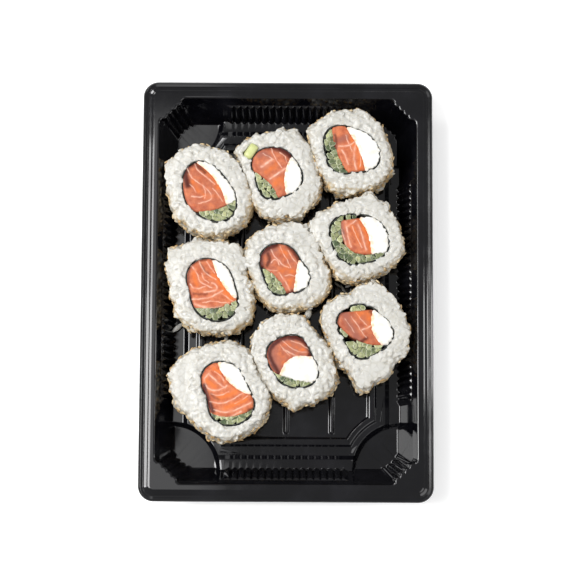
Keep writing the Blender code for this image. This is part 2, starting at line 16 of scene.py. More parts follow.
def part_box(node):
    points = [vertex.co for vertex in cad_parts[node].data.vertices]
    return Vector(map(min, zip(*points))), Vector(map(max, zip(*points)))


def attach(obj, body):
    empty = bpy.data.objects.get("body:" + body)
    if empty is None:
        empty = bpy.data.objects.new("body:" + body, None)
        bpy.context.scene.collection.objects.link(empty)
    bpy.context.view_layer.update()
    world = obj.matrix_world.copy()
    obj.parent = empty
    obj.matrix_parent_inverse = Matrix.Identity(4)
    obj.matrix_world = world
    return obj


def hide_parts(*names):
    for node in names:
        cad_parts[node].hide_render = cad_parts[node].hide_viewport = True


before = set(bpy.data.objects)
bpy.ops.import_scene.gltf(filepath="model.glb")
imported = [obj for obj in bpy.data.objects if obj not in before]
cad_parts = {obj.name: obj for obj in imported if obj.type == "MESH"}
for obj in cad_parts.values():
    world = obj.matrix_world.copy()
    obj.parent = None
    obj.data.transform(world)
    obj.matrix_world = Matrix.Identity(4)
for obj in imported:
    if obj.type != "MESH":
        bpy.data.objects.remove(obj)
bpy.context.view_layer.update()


# Camera: it looks almost straight down on the tray from about a metre, leaning a little
# towards the tray's empty front, with a long lens.

CAMERA_DISTANCE = 1.04926
CAMERA_TILT = math.radians(7.69295)
CAMERA_ROLL = math.radians(0.31385)
CAMERA_AIM = Vector((0.00056, 0.00216, 0.012))
LENS = 126.0848

camera_data = bpy.data.cameras.new("camera")
camera_data.lens = LENS
camera_data.sensor_width = 36.0
camera = bpy.data.objects.new("camera", camera_data)
turned = Matrix.Rotation(CAMERA_TILT, 4, "X") @ Matrix.Rotation(CAMERA_ROLL, 4, "Z")
camera.matrix_world = Matrix.Translation(CAMERA_AIM) @ turned @ Matrix.Translation((0, 0, CAMERA_DISTANCE))
bpy.context.scene.collection.objects.link(camera)
bpy.context.scene.camera = camera


# Studio: a white table top and soft lamps. The brightest lamp stands to the left, low enough
# to lay its reflection along the left edges of the plastic.

FLOOR_HALF = 1.6
TABLE_GLOW = 0.3


class Wire:
    """One socket of a node tree, so that maths on it reads as maths."""

    def __init__(self, tree, socket=None):
        self.tree = tree
        self.socket = socket

    def node(self, kind, sockets=None, output=0, stops=None, **settings):
        """A new node: its settings first, then the values or wires of its sockets."""
        made = self.tree.nodes.new(kind)
        for name, value in settings.items():
            setattr(made, name, value)
        if stops:
            ramp = made.color_ramp
            while len(ramp.elements) < len(stops):
                ramp.elements.new(1.0)
            for element, (place, colour) in zip(ramp.elements, stops):
                element.position = place
                element.color = (*colour, 1.0)
        for key, value in (sockets or {}).items():
            if isinstance(value, Wire):
                self.tree.links.new(value.socket, made.inputs[key])
            else:
                made.inputs[key].default_value = value
        return Wire(self.tree, made.outputs[output])

    def maths(self, operation, other, swapped=False):
        first, second = (other, self) if swapped else (self, other)
        return self.node("ShaderNodeMath", {0: first, 1: second}, operation=operation)

    def __add__(self, other):
        return self.maths("ADD", other)

    def __radd__(self, other):
        return self.maths("ADD", other, True)

    def __sub__(self, other):
        return self.maths("SUBTRACT", other)

    def __rsub__(self, other):
        return self.maths("SUBTRACT", other, True)

    def __mul__(self, other):
        return self.maths("MULTIPLY", other)

    def __rmul__(self, other):
        return self.maths("MULTIPLY", other, True)

    def __truediv__(self, other):
        return self.maths("DIVIDE", other)

    def __rtruediv__(self, other):
        return self.maths("DIVIDE", other, True)

    def other(self, name):
        """Another output of the node that this wire comes from."""
        return Wire(self.tree, self.socket.node.outputs[name])

    def rise(self, low, high):
        """0 below low and 1 above high, with a soft step between."""
        sockets = {0: self, 1: low, 2: high}
        return self.node("ShaderNodeMapRange", sockets, interpolation_type="SMOOTHSTEP")

    def blend(self, first, second):
        """From the first colour to the second as this goes from 0 to 1."""
        sockets = {0: self, 6: first, 7: second}
        return self.node("ShaderNodeMix", sockets, output=2, data_type="RGBA")


def finish(name, **fixed):
    """A material with these fixed values on its Principled shader, and a wire to start from."""
    made = bpy.data.materials.new(name)
    made.use_nodes = True
    shader = made.node_tree.nodes["Principled BSDF"]
    for key, value in fixed.items():
        shader.inputs[key.replace("_", " ")].default_value = value
    return made, shader, Wire(made.node_tree)


def feed(shader, key, wire):
    wire.tree.links.new(wire.socket, shader.inputs[key])


def place_of(start):
    return start.node("ShaderNodeTexCoord", output=3)


def grain(start, scale, detail=3.0, roughness=0.5, place=None):
    """Noise in object space, about one blob for each 1/scale metre."""
    sockets = {"Vector": place or place_of(start), "Scale": scale, "Detail": detail, "Roughness": roughness}
    return start.node("ShaderNodeTexNoise", sockets)


def raise_bumps(shader, height, distance, strength=1.0):
    sockets = {"Height": height, "Distance": distance, "Strength": strength}
    feed(shader, "Normal", height.node("ShaderNodeBump", sockets))


white_top, shader, start = finish(
    "white_table", Roughness=0.65, Emission_Color=(1.0, 1.0, 1.0, 1.0), Emission_Strength=TABLE_GLOW
)
feed(shader, "Base Color", grain(start, 3.0).blend((0.96, 0.96, 0.96, 1), (0.98, 0.98, 0.98, 1)))
floor_mesh = bpy.data.meshes.new("table_top")
corners = [(FLOOR_HALF * x, FLOOR_HALF * y, 0.0) for x, y in ((-1, -1), (1, -1), (1, 1), (-1, 1))]
floor_mesh.from_pydata(corners, [], [(0, 1, 2, 3)])
floor_mesh.materials.append(white_top)
table_top = bpy.data.objects.new("table_top", floor_mesh)
bpy.context.scene.collection.objects.link(table_top)


def lamp(name, place, size, power, level=False):
    """A soft lamp that faces the tray, or straight down if it hangs level."""
    data = bpy.data.lights.new(name, "AREA")
    data.shape = "RECTANGLE"
    data.size, data.size_y = size
    data.energy = power
    made = bpy.data.objects.new(name, data)
    made.location = place
    if not level:
        made.rotation_euler = (-Vector(place)).to_track_quat("-Z", "Y").to_euler()
    bpy.context.scene.collection.objects.link(made)


lamp("soft_box", (-0.20, 0.02, 1.05), (0.26, 0.6), 0.75, True)
lamp("bright_box", (-0.49, 0.02, 1.05), (0.3, 0.6), 6.5, True)
lamp("key_lamp", (-0.88, 0.0, 0.98), (0.32, 0.5), 9.0)
lamp("back_lamp", (-0.8, 0.9, 1.15), (0.32, 0.32), 5.0)
lamp("strip_lamp", (1.2, 0.1, 0.34), (0.12, 1.3), 4.0)
lamp("fill_lamp", (0.9, -0.7, 1.3), (0.9, 0.9), 6.5)
world = bpy.data.worlds.new("studio")
world.use_nodes = True
world.node_tree.nodes["Background"].inputs["Color"].default_value = (1.0, 1.0, 1.0, 1.0)
world.node_tree.nodes["Background"].inputs["Strength"].default_value = 0.4
bpy.context.scene.world = world
bpy.context.scene.view_settings.view_transform = "Standard"


# Tray: one sheet of glossy black plastic drawn over a mould. Its rows run round it, from the
# floor panel out to the lip, and its flutes stiffen the walls and the corners.

MM = 0.001
tray_low, tray_high = (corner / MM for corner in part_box("tray"))
OUTER = (tray_high.x, tray_high.y)
RIM_Z = tray_high.z
SHEET = 0.7
LIP_DROP = 2.2
RIM = (
    (8.0, 0.0),
    (6.1, 0.0),
    (5.1, 0.2),
    (4.5, 0.7),
    (3.2, 0.95),
    (2.6, 1.55),
    (1.2, 1.2),
    (0.6, 1.7),
    (0.0, LIP_DROP),
)
RIM_FILLET = 0.15
OUTER_CORNER = 8.0
FLANGE_INNER = (66.9, 100.2)
FLANGE_CHAMFER = (13.0, 12.5)
FOOT = (59.2, 92.2)
FOOT_CHAMFER = (7.0, 6.0)
CHANNEL_Z = 3.6
WALL_RUN = FLANGE_INNER[0] - FOOT[0]
WALL_LEAN = WALL_RUN / (RIM_Z - CHANNEL_Z)
SIDE_SHARE = (FLANGE_INNER[1] - FOOT[1]) / WALL_RUN
FLOOR_Z = 5.0
BEAD_Z = 6.2
FLOOR_PROFILE = (
    (20.0, FLOOR_Z),
    (17.2, FLOOR_Z),
    (16.3, BEAD_Z),
    (13.4, BEAD_Z),
    (12.4, FLOOR_Z),
    (8.1, FLOOR_Z),
)
STEP_FOOT = 5.7
ARC_INSETS = (STEP_FOOT, 8.1, 12.4, 17.2)
ARC_RADII = (23.2, 25.8, 28.8, 33.4)
ARC_CENTRE = (59.5, 92.6)
FILLET = 0.55
SUPPORT = -WALL_RUN - FILLET - 0.25
FLUTE_DEPTH = 1.3
FLUTE_PITCH = 3.54
FLUTES_BESIDE = (8, 15.5)
COLUMNS_A_FLUTE = 6
PANEL_END = ((1.0, 1.0), (1.5, 0.9), (3.4, 0.08), (3.8, 0.0))
CORNER_FLUTE_PITCH = 3.35
CORNER_FLUTE_DEPTH = 1.1
CORNER_FLUTES = 4
FLUTED_SHARE = 0.6
CORNER_COLUMNS = 50
CORNER_RECESS = 0.5
BAND_COLUMNS = 4
LEDGE = ((16.6, 1.0), (17.2, 0.93), (17.5, 0.6), (17.55, 0.15), (17.9, 0.0))
RIB_PITCH = 23.6
RIB_HALF_WIDTH = 1.5
RIB_TOP_HALF_WIDTH = 0.75
RIB_END = 1.6
RIB_FILLET = 0.45


def rounded(profile, radius, steps=3):
    """A polyline with each inner corner as a short curve of this many points."""
    points = [Vector(point) for point in profile]
    made = []
    for before, here, after in zip(points, points[1:], points[2:]):
        back = min(radius, (before - here).length / 2)
        on = min(radius, (after - here).length / 2)
        first = here + (before - here).normalized() * back
        last = here + (after - here).normalized() * on
        for i in range(steps):
            t = i / (steps - 1)
            made.append(tuple(first * (1 - t) ** 2 + here * 2 * t * (1 - t) + last * t * t))
    return made


def flute(along, pitch):
    """Round ridges with sharp valleys at each whole pitch."""
    return abs(math.sin(math.pi * along / pitch)) ** 0.75


def soft(share):
    share = max(0.0, min(1.0, share))
    return share * share * (3 - 2 * share)


def side_columns(axis):
    """Places along one wall from its middle to the corner, each with its share of a ridge."""
    panel = FLUTES_BESIDE[axis] * FLUTE_PITCH
    count = round(FLUTES_BESIDE[axis] * COLUMNS_A_FLUTE)
    shift = FLUTES_BESIDE[axis] % 1 * FLUTE_PITCH
    made = []
    for i in range(count + 1):
        along = panel * i / count
        made.append((along, flute(along + shift, FLUTE_PITCH)))
    made += [(panel + place, share) for place, share in PANEL_END]
    return made


def quarter_columns():
    """(wall, place, ridge) for each column of a quarter. A corner's place runs from -2 to 2."""
    ends, sides = side_columns(0), side_columns(1)
    made = [("end", place, ridge) for place, ridge in ends]
    made += [("corner", -2 + i / BAND_COLUMNS, 0.0) for i in range(BAND_COLUMNS)]
    made += [("corner", 2 * i / CORNER_COLUMNS - 1, 0.0) for i in range(CORNER_COLUMNS + 1)]
    made += [("corner", 1 + (i + 1) / BAND_COLUMNS, 0.0) for i in range(BAND_COLUMNS)]
    return made + [("side", place, ridge) for place, ridge in sides[::-1]]


def half_sizes(part, inset):
    """Half the width and length of the tray at a distance inside the walls' foot or the lip."""
    if part == "rim":
        return (OUTER[0] - inset, OUTER[1] - inset)
    return (FOOT[0] - inset, FOOT[1] - inset * (SIDE_SHARE if inset < 0 else 1))


def meeting(half, radius, end):
    """Where the foot's circle crosses the end wall's line, or the side wall's."""
    if end:
        return Vector((ARC_CENTRE[0] - math.sqrt(radius**2 - (ARC_CENTRE[1] - half[1]) ** 2), half[1]))
    return Vector((half[0], ARC_CENTRE[1] - math.sqrt(radius**2 - (ARC_CENTRE[0] - half[0]) ** 2)))


def round_arc(start, end, share):
    """A point on the foot's circle, between two points of it."""
    centre = Vector(ARC_CENTRE)
    first, last = start - centre, end - centre
    a = math.atan2(first.y, first.x) % math.tau
    b = math.atan2(last.y, last.x) % math.tau
    angle = a + (b - a) * share
    return centre + Vector((math.cos(angle), math.sin(angle))) * first.length


def round_chamfer(half, z, start, end, place):
    """A point of the cut corner at a place from -1 to 1, with the corner's own flutes."""
    rise = (z - CHANNEL_Z) / (RIM_Z - CHANNEL_Z)
    cut = [a + (b - a) * rise for a, b in zip(FOOT_CHAMFER, FLANGE_CHAMFER)]
    bends = (Vector((half[0] - cut[0], half[1])), Vector((half[0], half[1] - cut[1])))
    middle = (bends[0] + bends[1]) / 2
    side = 1 if place > 0 else 0
    half_length = (bends[1] - bends[0]).length / 2
    run_out = ((start, end)[side] - bends[side]).length
    if abs(place) <= FLUTED_SHARE:
        along = abs(place) / FLUTED_SHARE * CORNER_FLUTES / 2 * CORNER_FLUTE_PITCH
    else:
        rest = (abs(place) - FLUTED_SHARE) / (1 - FLUTED_SHARE)
        fluted = CORNER_FLUTES / 2 * CORNER_FLUTE_PITCH
        along = fluted + (half_length + run_out - fluted) * rest
    inwards = -(bends[1] - bends[0]).orthogonal().normalized()
    inwards = inwards if inwards.dot(middle) < 0 else -inwards
    point = middle + (bends[side] - middle).normalized() * min(along, half_length)
    if along > half_length:
        point += ((start, end)[side] - bends[side]).normalized() * (along - half_length)
        inwards = Vector((-1, 0)) if side else Vector((0, -1))
    if abs(place) < FLUTED_SHARE:
        point += inwards * CORNER_FLUTE_DEPTH * flute(along, CORNER_FLUTE_PITCH)
    return point


def round_rim(half, inset, start, end, place):
    """A point of the rim's rounded corner at a place from -1 to 1."""
    radius = OUTER_CORNER - inset if inset < OUTER_CORNER - 1 else 1.0
    centre = Vector((half[0] - radius, half[1] - radius))
    if abs(place) <= 0.5:
        angle = math.radians(45 - 90 * place)
        return centre + Vector((math.cos(angle), math.sin(angle))) * radius
    share = (abs(place) - 0.5) / 0.5
    if place < 0:
        return Vector((centre.x, half[1])).lerp(start, share)
    return Vector((half[0], centre.y)).lerp(end, share)


def tray_point(row, column):
    """The point of the tray's upper face where a row crosses a column of the quarter."""
    part, inset, z, inner_inset, inner_z, reach = row
    wall, place, ridge = column
    half = half_sizes(part, inset)
    out = reach * FLUTE_DEPTH * ridge
    if wall == "end":
        return (place, half[1] - out, z)
    if wall == "side":
        return (half[0] - out, place, z)
    sunk = soft(2 - abs(place))
    inner_half = half_sizes(part, inner_inset)
    inner_radius = float(np.interp(inset if part == "floor" else 0.0, ARC_INSETS, ARC_RADII))
    outer_radius = max(ARC_RADII[1], inner_radius)
    if abs(place) > 1:
        line = [a + (b - a) * sunk for a, b in zip(half, inner_half)]
        radius = outer_radius + (inner_radius - outer_radius) * (2 - abs(place))
        point = meeting(line, radius, place < 0)
        return (*point, z + (inner_z - z) * sunk)
    start = meeting(inner_half, inner_radius, True)
    end = meeting(inner_half, inner_radius, False)
    if part == "floor":
        point = round_arc(start, end, (place + 1) / 2)
    elif part == "wall":
        point = round_chamfer(inner_half, inner_z, start, end, place)
    else:
        point = round_rim(inner_half, inset, start, end, place)
    return (*point, inner_z)


def tray_rows():
    """The rows from the floor panel out to the lip, beside the corners and within them."""
    wall_foot = (0.0, CHANNEL_Z)
    sunk_foot = (WALL_LEAN * (CHANNEL_Z - SHEET), SHEET)
    wall_top = (-WALL_RUN, RIM_Z)
    flange = (-WALL_RUN - 3.0, RIM_Z)
    beside = FLOOR_PROFILE + ((STEP_FOOT, CHANNEL_Z), wall_foot, wall_top, flange)
    within = FLOOR_PROFILE + ((STEP_FOOT, SHEET), sunk_foot, wall_top, flange)
    pairs = list(zip(rounded(beside, FILLET), rounded(within, FILLET)))
    wall_at = 3 * len(FLOOR_PROFILE)
    top_at = wall_at + 3
    rows = []
    for i, ((inset, z), (inner_inset, inner_z)) in enumerate(pairs):
        part = "floor" if i < wall_at else "wall"
        reach = 1.0 if wall_at <= i < top_at else 0.0
        rows.append((part, inset, z, inner_inset, inner_z, reach))
        if i == top_at - 1:
            for height, reach in LEDGE:
                at = -(height - CHANNEL_Z) * WALL_LEAN
                rows.append(("wall", at, height, at - CORNER_RECESS, height, reach))
    rows.append(("wall", SUPPORT, RIM_Z, SUPPORT, RIM_Z, 0.0))
    for inset, drop in rounded(RIM, RIM_FILLET) + [RIM[-1]]:
        rows.append(("rim", inset, RIM_Z - drop, inset, RIM_Z - drop, 0.0))
    return rows


def whole_ring(quarter):
    """A quarter's points repeated round all four quarters, in order."""
    back = quarter[::-1]
    right_front = [(x, -y, z) for x, y, z in back]
    left_front = [(-x, -y, z) for x, y, z in quarter]
    left_back = [(-x, y, z) for x, y, z in back]
    ring = quarter + right_front + left_front + left_back
    return [p for p, before in zip(ring, ring[-1:] + ring) if (Vector(p) - Vector(before)).length > 1e-4]


def add_ring(bm, points):
    return [bm.verts.new(point) for point in points]


def bridge(bm, inner, outer):
    for i in range(len(inner)):
        j = (i + 1) % len(inner)
        bm.faces.new((inner[i], outer[i], outer[j], inner[j]))


def rib(bm, x, half_length):
    """One raised rib of the floor. Its foot's edges are left for the floor to be filled round."""
    profile = (
        (RIB_HALF_WIDTH + 2, FLOOR_Z),
        (RIB_HALF_WIDTH, FLOOR_Z),
        (RIB_TOP_HALF_WIDTH, BEAD_Z),
        (0.0, BEAD_Z),
    )
    rings = []
    for half, z in rounded(profile, RIB_FILLET):
        end = half_length - RIB_HALF_WIDTH + half
        turned = [math.radians(a) for a in (-75, -45, -15)]
        nose = [(x + half * math.sin(a), end - half + half * math.cos(a), z) for a in turned]
        nose += [(x - (px - x), py, z) for px, py, _ in nose[::-1]]
        tail = [(px, -py, z) for px, py, _ in nose[::-1]]
        rings.append(add_ring(bm, nose + tail))
    for foot, top in zip(rings, rings[1:]):
        bridge(bm, foot, top)
    bm.faces.new(rings[-1])
    foot = rings[0]
    return [bm.edges.get((foot[i - 1], foot[i])) for i in range(len(foot))]


def mesh_object(name, bm, material, smooth_to=None):
    """The object that a bmesh in millimetres becomes, shaded smooth up to an angle if one is given."""
    bmesh.ops.scale(bm, vec=(MM, MM, MM), verts=bm.verts)
    mesh = bpy.data.meshes.new(name)
    bm.to_mesh(mesh)
    bm.free()
    mesh.materials.append(material)
    if smooth_to is not None:
        mesh.shade_smooth()
        mesh.set_sharp_from_angle(angle=math.radians(smooth_to))
    made = bpy.data.objects.new(name, mesh)
    bpy.context.scene.collection.objects.link(made)
    return made


black_plastic, shader, start = finish("black_plastic", IOR=1.5)
smears = grain(start, 55, 4.0, 0.6)
feed(shader, "Base Color", smears.rise(0.4, 0.75).blend((0.002, 0.002, 0.003, 1), (0.006, 0.006, 0.008, 1)))
feed(shader, "Roughness", smears.rise(0.35, 0.8) * 0.08 + 0.07)
raise_bumps(shader, grain(start, 60, 2.0), 0.0004, 0.05)

columns = quarter_columns()
bm = bmesh.new()
rings = [add_ring(bm, whole_ring([tray_point(row, column) for column in columns])) for row in tray_rows()]
for inner, outer in zip(rings, rings[1:]):
    bridge(bm, inner, outer)
floor_edges = [bm.edges.get((rings[0][i - 1], rings[0][i])) for i in range(len(rings[0]))]
rib_half_length = FOOT[1] - FLOOR_PROFILE[1][0] - RIB_END
for x in (-RIB_PITCH, 0.0, RIB_PITCH):
    floor_edges += rib(bm, x, rib_half_length)
bmesh.ops.triangle_fill(bm, use_beauty=True, edges=floor_edges, normal=(0, 0, 1))
bmesh.ops.recalc_face_normals(bm, faces=bm.faces)
if sum(face.normal.z * face.calc_area() for face in bm.faces) < 0:
    bmesh.ops.reverse_faces(bm, faces=bm.faces)
tray = mesh_object("tray_shell", bm, black_plastic, 50)
shell = tray.modifiers.new("sheet", "SOLIDIFY")
shell.thickness = SHEET * MM
shell.offset = -1.0
even = tray.modifiers.new("even_faces", "WEIGHTED_NORMAL")
even.keep_sharp = True
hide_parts("tray")
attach(tray, "root")


# Rice: cooked grains pressed into a thick ring round the seaweed. Each roll has a core of rice
# with single grains sunk into it, cut off level where the knife went and flush at the seaweed.

LETTERS = sorted(name[-1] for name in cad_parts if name.startswith("rice_"))
GRAIN_SIZE = (5.4, 2.5, 2.1)
GRAIN_SPACING = 1.75
CORE_DEPTH = 0.7
GRAIN_BEND = 0.3
GRAIN_TILT = 0.42
GRAIN_SINK = (-0.25, 0.55)
CUT_KEEP = 0.12
RICE_VOXEL = 0.42
LUMPS = 2.1
LUMP_SIZE = 4.4
FINER_LUMPS = 2.3
CORE_RIM = 1.0
RING_WIDTH = 7.5
EDGE_DROP = 1.3
EDGE_FROM = 4.0
EDGE_RUN = 4.5
TOP_WAVES = (6.0, 0.5)
FINE_WAVES = 1.4
TOP_LIFT = 0.25
MELT_ROUNDS = 3
# Each clump or dent of a roll: its angle in degrees, its width in degrees and how far it reaches.
CLUMPS = {
    "a": ((-75, 10, 2.0), (120, 8, -1.0), (150, 7, 0.8)),
    "b": ((150, 9, 2.8), (-60, 9, 1.2), (75, 14, 1.2)),
    "c": ((0, 12, -1.2), (78, 8, 1.0)),
    "d": ((168, 8, -1.8), (137, 7, 1.6), (60, 8, 1.6), (30, 9, -1.0)),
    "e": ((165, 8, 1.3), (-75, 9, 0.8)),
    "f": ((165, 9, 2.0), (135, 9, -1.6), (75, 8, 1.2), (0, 10, -1.3)),
    "g": ((150, 9, 1.2), (-165, 7, 1.4), (60, 8, 1.3), (-120, 8, -1.2), (-75, 8, 0.8)),
    "h": ((-90, 6, 3.0), (-62, 7, 1.2), (0, 12, -1.5), (60, 9, -1.0)),
    "i": (
        (150, 9, 1.6),
        (-90, 9, 4.2),
        (-135, 8, 1.4),
        (75, 9, 1.6),
        (110, 10, -1.6),
        (-45, 10, -1.8),
        (-110, 7, -1.8),
    ),
}
NORI_HIDDEN = 0.5
# The tan tint, partly a stain and partly painted shade, starts this far outside the seaweed, deepens
# downwards and lies on one side most.
TINT_AND_SHADE_FROM = 3.0
TINT_AND_SHADE_DEPTH = 2.5
TINT_AND_SHADE_SIDE = (0.45, -0.9)
TINT_AND_SHADE = dict(zip("abcdefghi", (1.0, 0.6, 1.0, 1.0, 1.0, 0.8, 0.5, 0.6, 0.3)))
RIBS_TOP = 6.25
CORE_COLUMNS = 160
CORE_WAVES = 0.38
WALL_CLEAR = 0.15
WALLS_UNDER = FLUTE_DEPTH + WALL_CLEAR


def open_tree(name, **inputs):
    """A Geometry Nodes tree with these named inputs: a wire to each input, and a way to close it."""
    tree = bpy.data.node_groups.new(name, "GeometryNodeTree")
    tree.interface.new_socket("Geometry", in_out="INPUT", socket_type="NodeSocketGeometry")
    for label, value in inputs.items():
        kind = "NodeSocketInt" if isinstance(value, int) else "NodeSocketFloat"
        tree.interface.new_socket(label, in_out="INPUT", socket_type=kind).default_value = value
    tree.interface.new_socket("Geometry", in_out="OUTPUT", socket_type="NodeSocketGeometry")
    given = tree.nodes.new("NodeGroupInput")
    return {socket.name: Wire(tree, socket) for socket in given.outputs if socket.name}


def close_tree(shape, material):
    """Ends a tree in real, smooth geometry with its material, and returns the tree."""
    real = shape.node("GeometryNodeRealizeInstances", {0: shape})
    smooth = real.node("GeometryNodeSetShadeSmooth", {0: real})
    painted = smooth.node("GeometryNodeSetMaterial", {0: smooth, "Material": material})
    result = shape.tree.nodes.new("NodeGroupOutput")
    shape.tree.links.new(painted.socket, result.inputs[0])
    return shape.tree


def grown(source, tree, **settings):
    """The plain mesh that a tree makes of an object, with these values on its inputs."""
    modifier = source.modifiers.new("grown", "NODES")
    modifier.node_group = tree
    for item in tree.interface.items_tree:
        if item.in_out == "INPUT" and item.name in settings:
            modifier[item.identifier] = settings[item.name]
    graph = bpy.context.evaluated_depsgraph_get()
    mesh = bpy.data.meshes.new_from_object(source.evaluated_get(graph), depsgraph=graph)
    source.modifiers.remove(modifier)
    return mesh


def scattered(given, shape, tilt, sink, mask):
    """Instances of a shape laid at random on the faces that a mask names, up to a height."""
    wire = given["Geometry"]
    factor = wire.node("GeometryNodeInputNamedAttribute", {"Name": mask}, data_type="FLOAT")
    points = wire.node(
        "GeometryNodeDistributePointsOnFaces",
        {
            "Mesh": wire,
            "Distance Min": given["Spacing"],
            "Density Max": 3.0 / (given["Spacing"] * given["Spacing"]),
            "Density Factor": factor,
            "Seed": given["Seed"],
        },
        distribute_method="POISSON",
    )
    settings = {"data_type": "FLOAT_VECTOR"}
    turns = {0: (-tilt, -tilt, 0.0), 1: (tilt, tilt, math.tau)}
    turn = wire.node("FunctionNodeRandomValue", turns, **settings)
    spun = wire.node(
        "FunctionNodeRotateRotation",
        {0: points.other("Rotation"), 1: wire.node("FunctionNodeEulerToRotation", {0: turn})},
        rotation_space="LOCAL",
    )
    sizes = {0: (0.85, 0.85, 0.85), 1: (1.12, 1.12, 1.12), "Seed": 5}
    size = wire.node("FunctionNodeRandomValue", sizes, **settings)
    depth = wire.node("FunctionNodeRandomValue", {2: sink[0] * MM, 3: sink[1] * MM, "Seed": 9}, output=1)
    lift = {0: points.other("Normal"), "Scale": depth}
    moved = wire.node("ShaderNodeVectorMath", lift, operation="SCALE")
    sunk = wire.node("GeometryNodeSetPosition", {0: points, "Offset": moved})
    height = wire.node("ShaderNodeSeparateXYZ", {0: wire.node("GeometryNodeInputPosition")}, output=2)
    below = given["Highest"] - height
    sockets = {0: sunk, "Selection": below, "Instance": shape, "Rotation": spun, "Scale": size}
    laid = wire.node("GeometryNodeInstanceOnPoints", sockets)
    tone = wire.node("FunctionNodeRandomValue", {"Seed": 3}, output=1)
    toned = {0: laid, "Name": "tone", "Value": tone}
    return laid.node("GeometryNodeStoreNamedAttribute", toned, domain="INSTANCE")


def bean(wire, size, bend):
    """A smooth grain of these sizes in millimetres, with its ends bent down."""
    ball = wire.node("GeometryNodeMeshUVSphere", {"Segments": 8, "Rings": 5, "Radius": 1.0})
    along = wire.node("ShaderNodeSeparateXYZ", {0: wire.node("GeometryNodeInputPosition")}, output=2)
    down = wire.node("ShaderNodeCombineXYZ", {0: along * along * bend})
    bent = wire.node("GeometryNodeSetPosition", {0: ball, "Offset": down})
    half = (size[2] / 2 * MM, size[1] / 2 * MM, size[0] / 2 * MM)
    laid = wire.node("GeometryNodeTransform", {0: bent, "Scale": half})
    return wire.node("GeometryNodeTransform", {0: laid, "Rotation": (0.0, math.pi / 2, 0.0)})


def painted(start, name):
    """The value that a mesh carries under this name."""
    return start.node("ShaderNodeAttribute", output=2, attribute_name=name)


def store(mesh, name, values, domain="POINT"):
    mesh.attributes.new(name, "FLOAT", domain).data.foreach_set("value", values)


def coordinates(mesh):
    flat = np.empty(len(mesh.vertices) * 3, np.float32)
    mesh.vertices.foreach_get("co", flat)
    return flat.reshape(-1, 3).astype(float)


def move_to(mesh, co):
    mesh.vertices.foreach_set("co", co.astype(np.float32).ravel())


def noises(points, size):
    """Noise at each of these points in metres, with blobs of a size in millimetres."""
    return np.array([noise.noise(Vector(point) / MM / size) for point in points])


rice_white, shader, start = finish(
    "cooked_rice",
    Roughness=0.36,
    Subsurface_Weight=0.5,
    Subsurface_Radius=(1.0, 0.9, 0.75),
    Subsurface_Scale=0.002,
)
outside = painted(start, "outside")
sockets = {"Vector": place_of(start), "Scale": 330.0}
# The edges of the Voronoi cells are painted darker: painted shade in the seams between grains.
seams = start.node("ShaderNodeTexVoronoi", sockets, feature="DISTANCE_TO_EDGE")
grainy = seams.rise(0.0, 0.16).blend((0.46, 0.445, 0.40, 1), (0.53, 0.52, 0.485, 1))
mottled = (grain(start, 260, 4.0).rise(0.4, 0.75) * 0.6).blend(grainy, (0.60, 0.595, 0.57, 1))
patches = grain(start, 150, 4.0, 0.6).rise(0.26, 0.62)
# The tan on the outer sides is partly a stain and partly painted shade.
stained = (outside * patches).blend(mottled, (0.62, 0.48, 0.28, 1))
feed(shader, "Base Color", stained)
raise_bumps(shader, seams.rise(0.0, 0.2) + grain(start, 700, 3.0), 0.0002, 0.16)

given = open_tree("cooked_grains", Spacing=GRAIN_SPACING * MM, Depth=CORE_DEPTH * MM, Highest=1.0, Seed=1)
wire = given["Geometry"]
normal = wire.node("GeometryNodeInputNormal")
keeps = wire.node("GeometryNodeInputNamedAttribute", {"Name": "sinks"}, data_type="FLOAT")
sinking = {0: normal, "Scale": given["Depth"] * keeps * -1.0}
inwards = wire.node("ShaderNodeVectorMath", sinking, operation="SCALE")
core = wire.node("GeometryNodeSetPosition", {0: wire, "Offset": inwards})
one_grain = bean(wire, GRAIN_SIZE, GRAIN_BEND)
laid = scattered({**given, "Geometry": core}, one_grain, GRAIN_TILT, GRAIN_SINK, "grains")
whole = wire.node("GeometryNodeJoinGeometry")
for part in (laid, core):
    wire.tree.links.new(part.socket, whole.socket.node.inputs[0])
grain_tree = close_tree(whole, rice_white)


def welded(node):
    """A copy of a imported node's mesh with its triangles joined."""
    bm = bmesh.new()
    bm.from_mesh(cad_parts[node].data)
    bmesh.ops.remove_doubles(bm, verts=bm.verts, dist=1e-6)
    mesh = bpy.data.meshes.new(f"{node}_welded")
    bm.to_mesh(mesh)
    bm.free()
    made = bpy.data.objects.new(f"{node}_welded", mesh)
    bpy.context.scene.collection.objects.link(made)
    return made


def core_line(letter):
    """The outer edge of a roll's seaweed, gone wavy: its middle, angles and distances in metres."""
    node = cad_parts[f"nori_{letter}"]
    flat = np.unique([[round(c, 6) for c in v.co[:2]] for v in node.data.vertices], axis=0)
    middle = flat.mean(axis=0)
    offsets = flat - middle
    order = np.argsort(np.arctan2(offsets[:, 1], offsets[:, 0]))
    reach = np.hypot(*offsets[order].T).reshape(-1, 2).max(axis=1)
    angles = np.arctan2(offsets[order, 1], offsets[order, 0]).reshape(-1, 2).mean(axis=1)
    even = np.arange(CORE_COLUMNS) * math.tau / CORE_COLUMNS - math.pi
    wavy = np.interp(even, angles, reach, period=math.tau)
    for i, angle in enumerate(even):
        at = Vector((middle[0] + math.cos(angle) * wavy[i], middle[1] + math.sin(angle) * wavy[i], 0.0)) / MM
        wavy[i] += CORE_WAVES * MM * (noise.noise(at / 2.6) + 0.5 * noise.noise(at / 0.9))
    return middle, even, wavy


def core_reach(line, points):
    """Distance of each point from the core's middle, and of the core's edge in that direction."""
    middle, angles, reach = line
    offsets = points[:, :2] - middle
    edge = np.interp(np.arctan2(offsets[:, 1], offsets[:, 0]), angles, reach, period=math.tau)
    return np.hypot(*offsets.T), edge


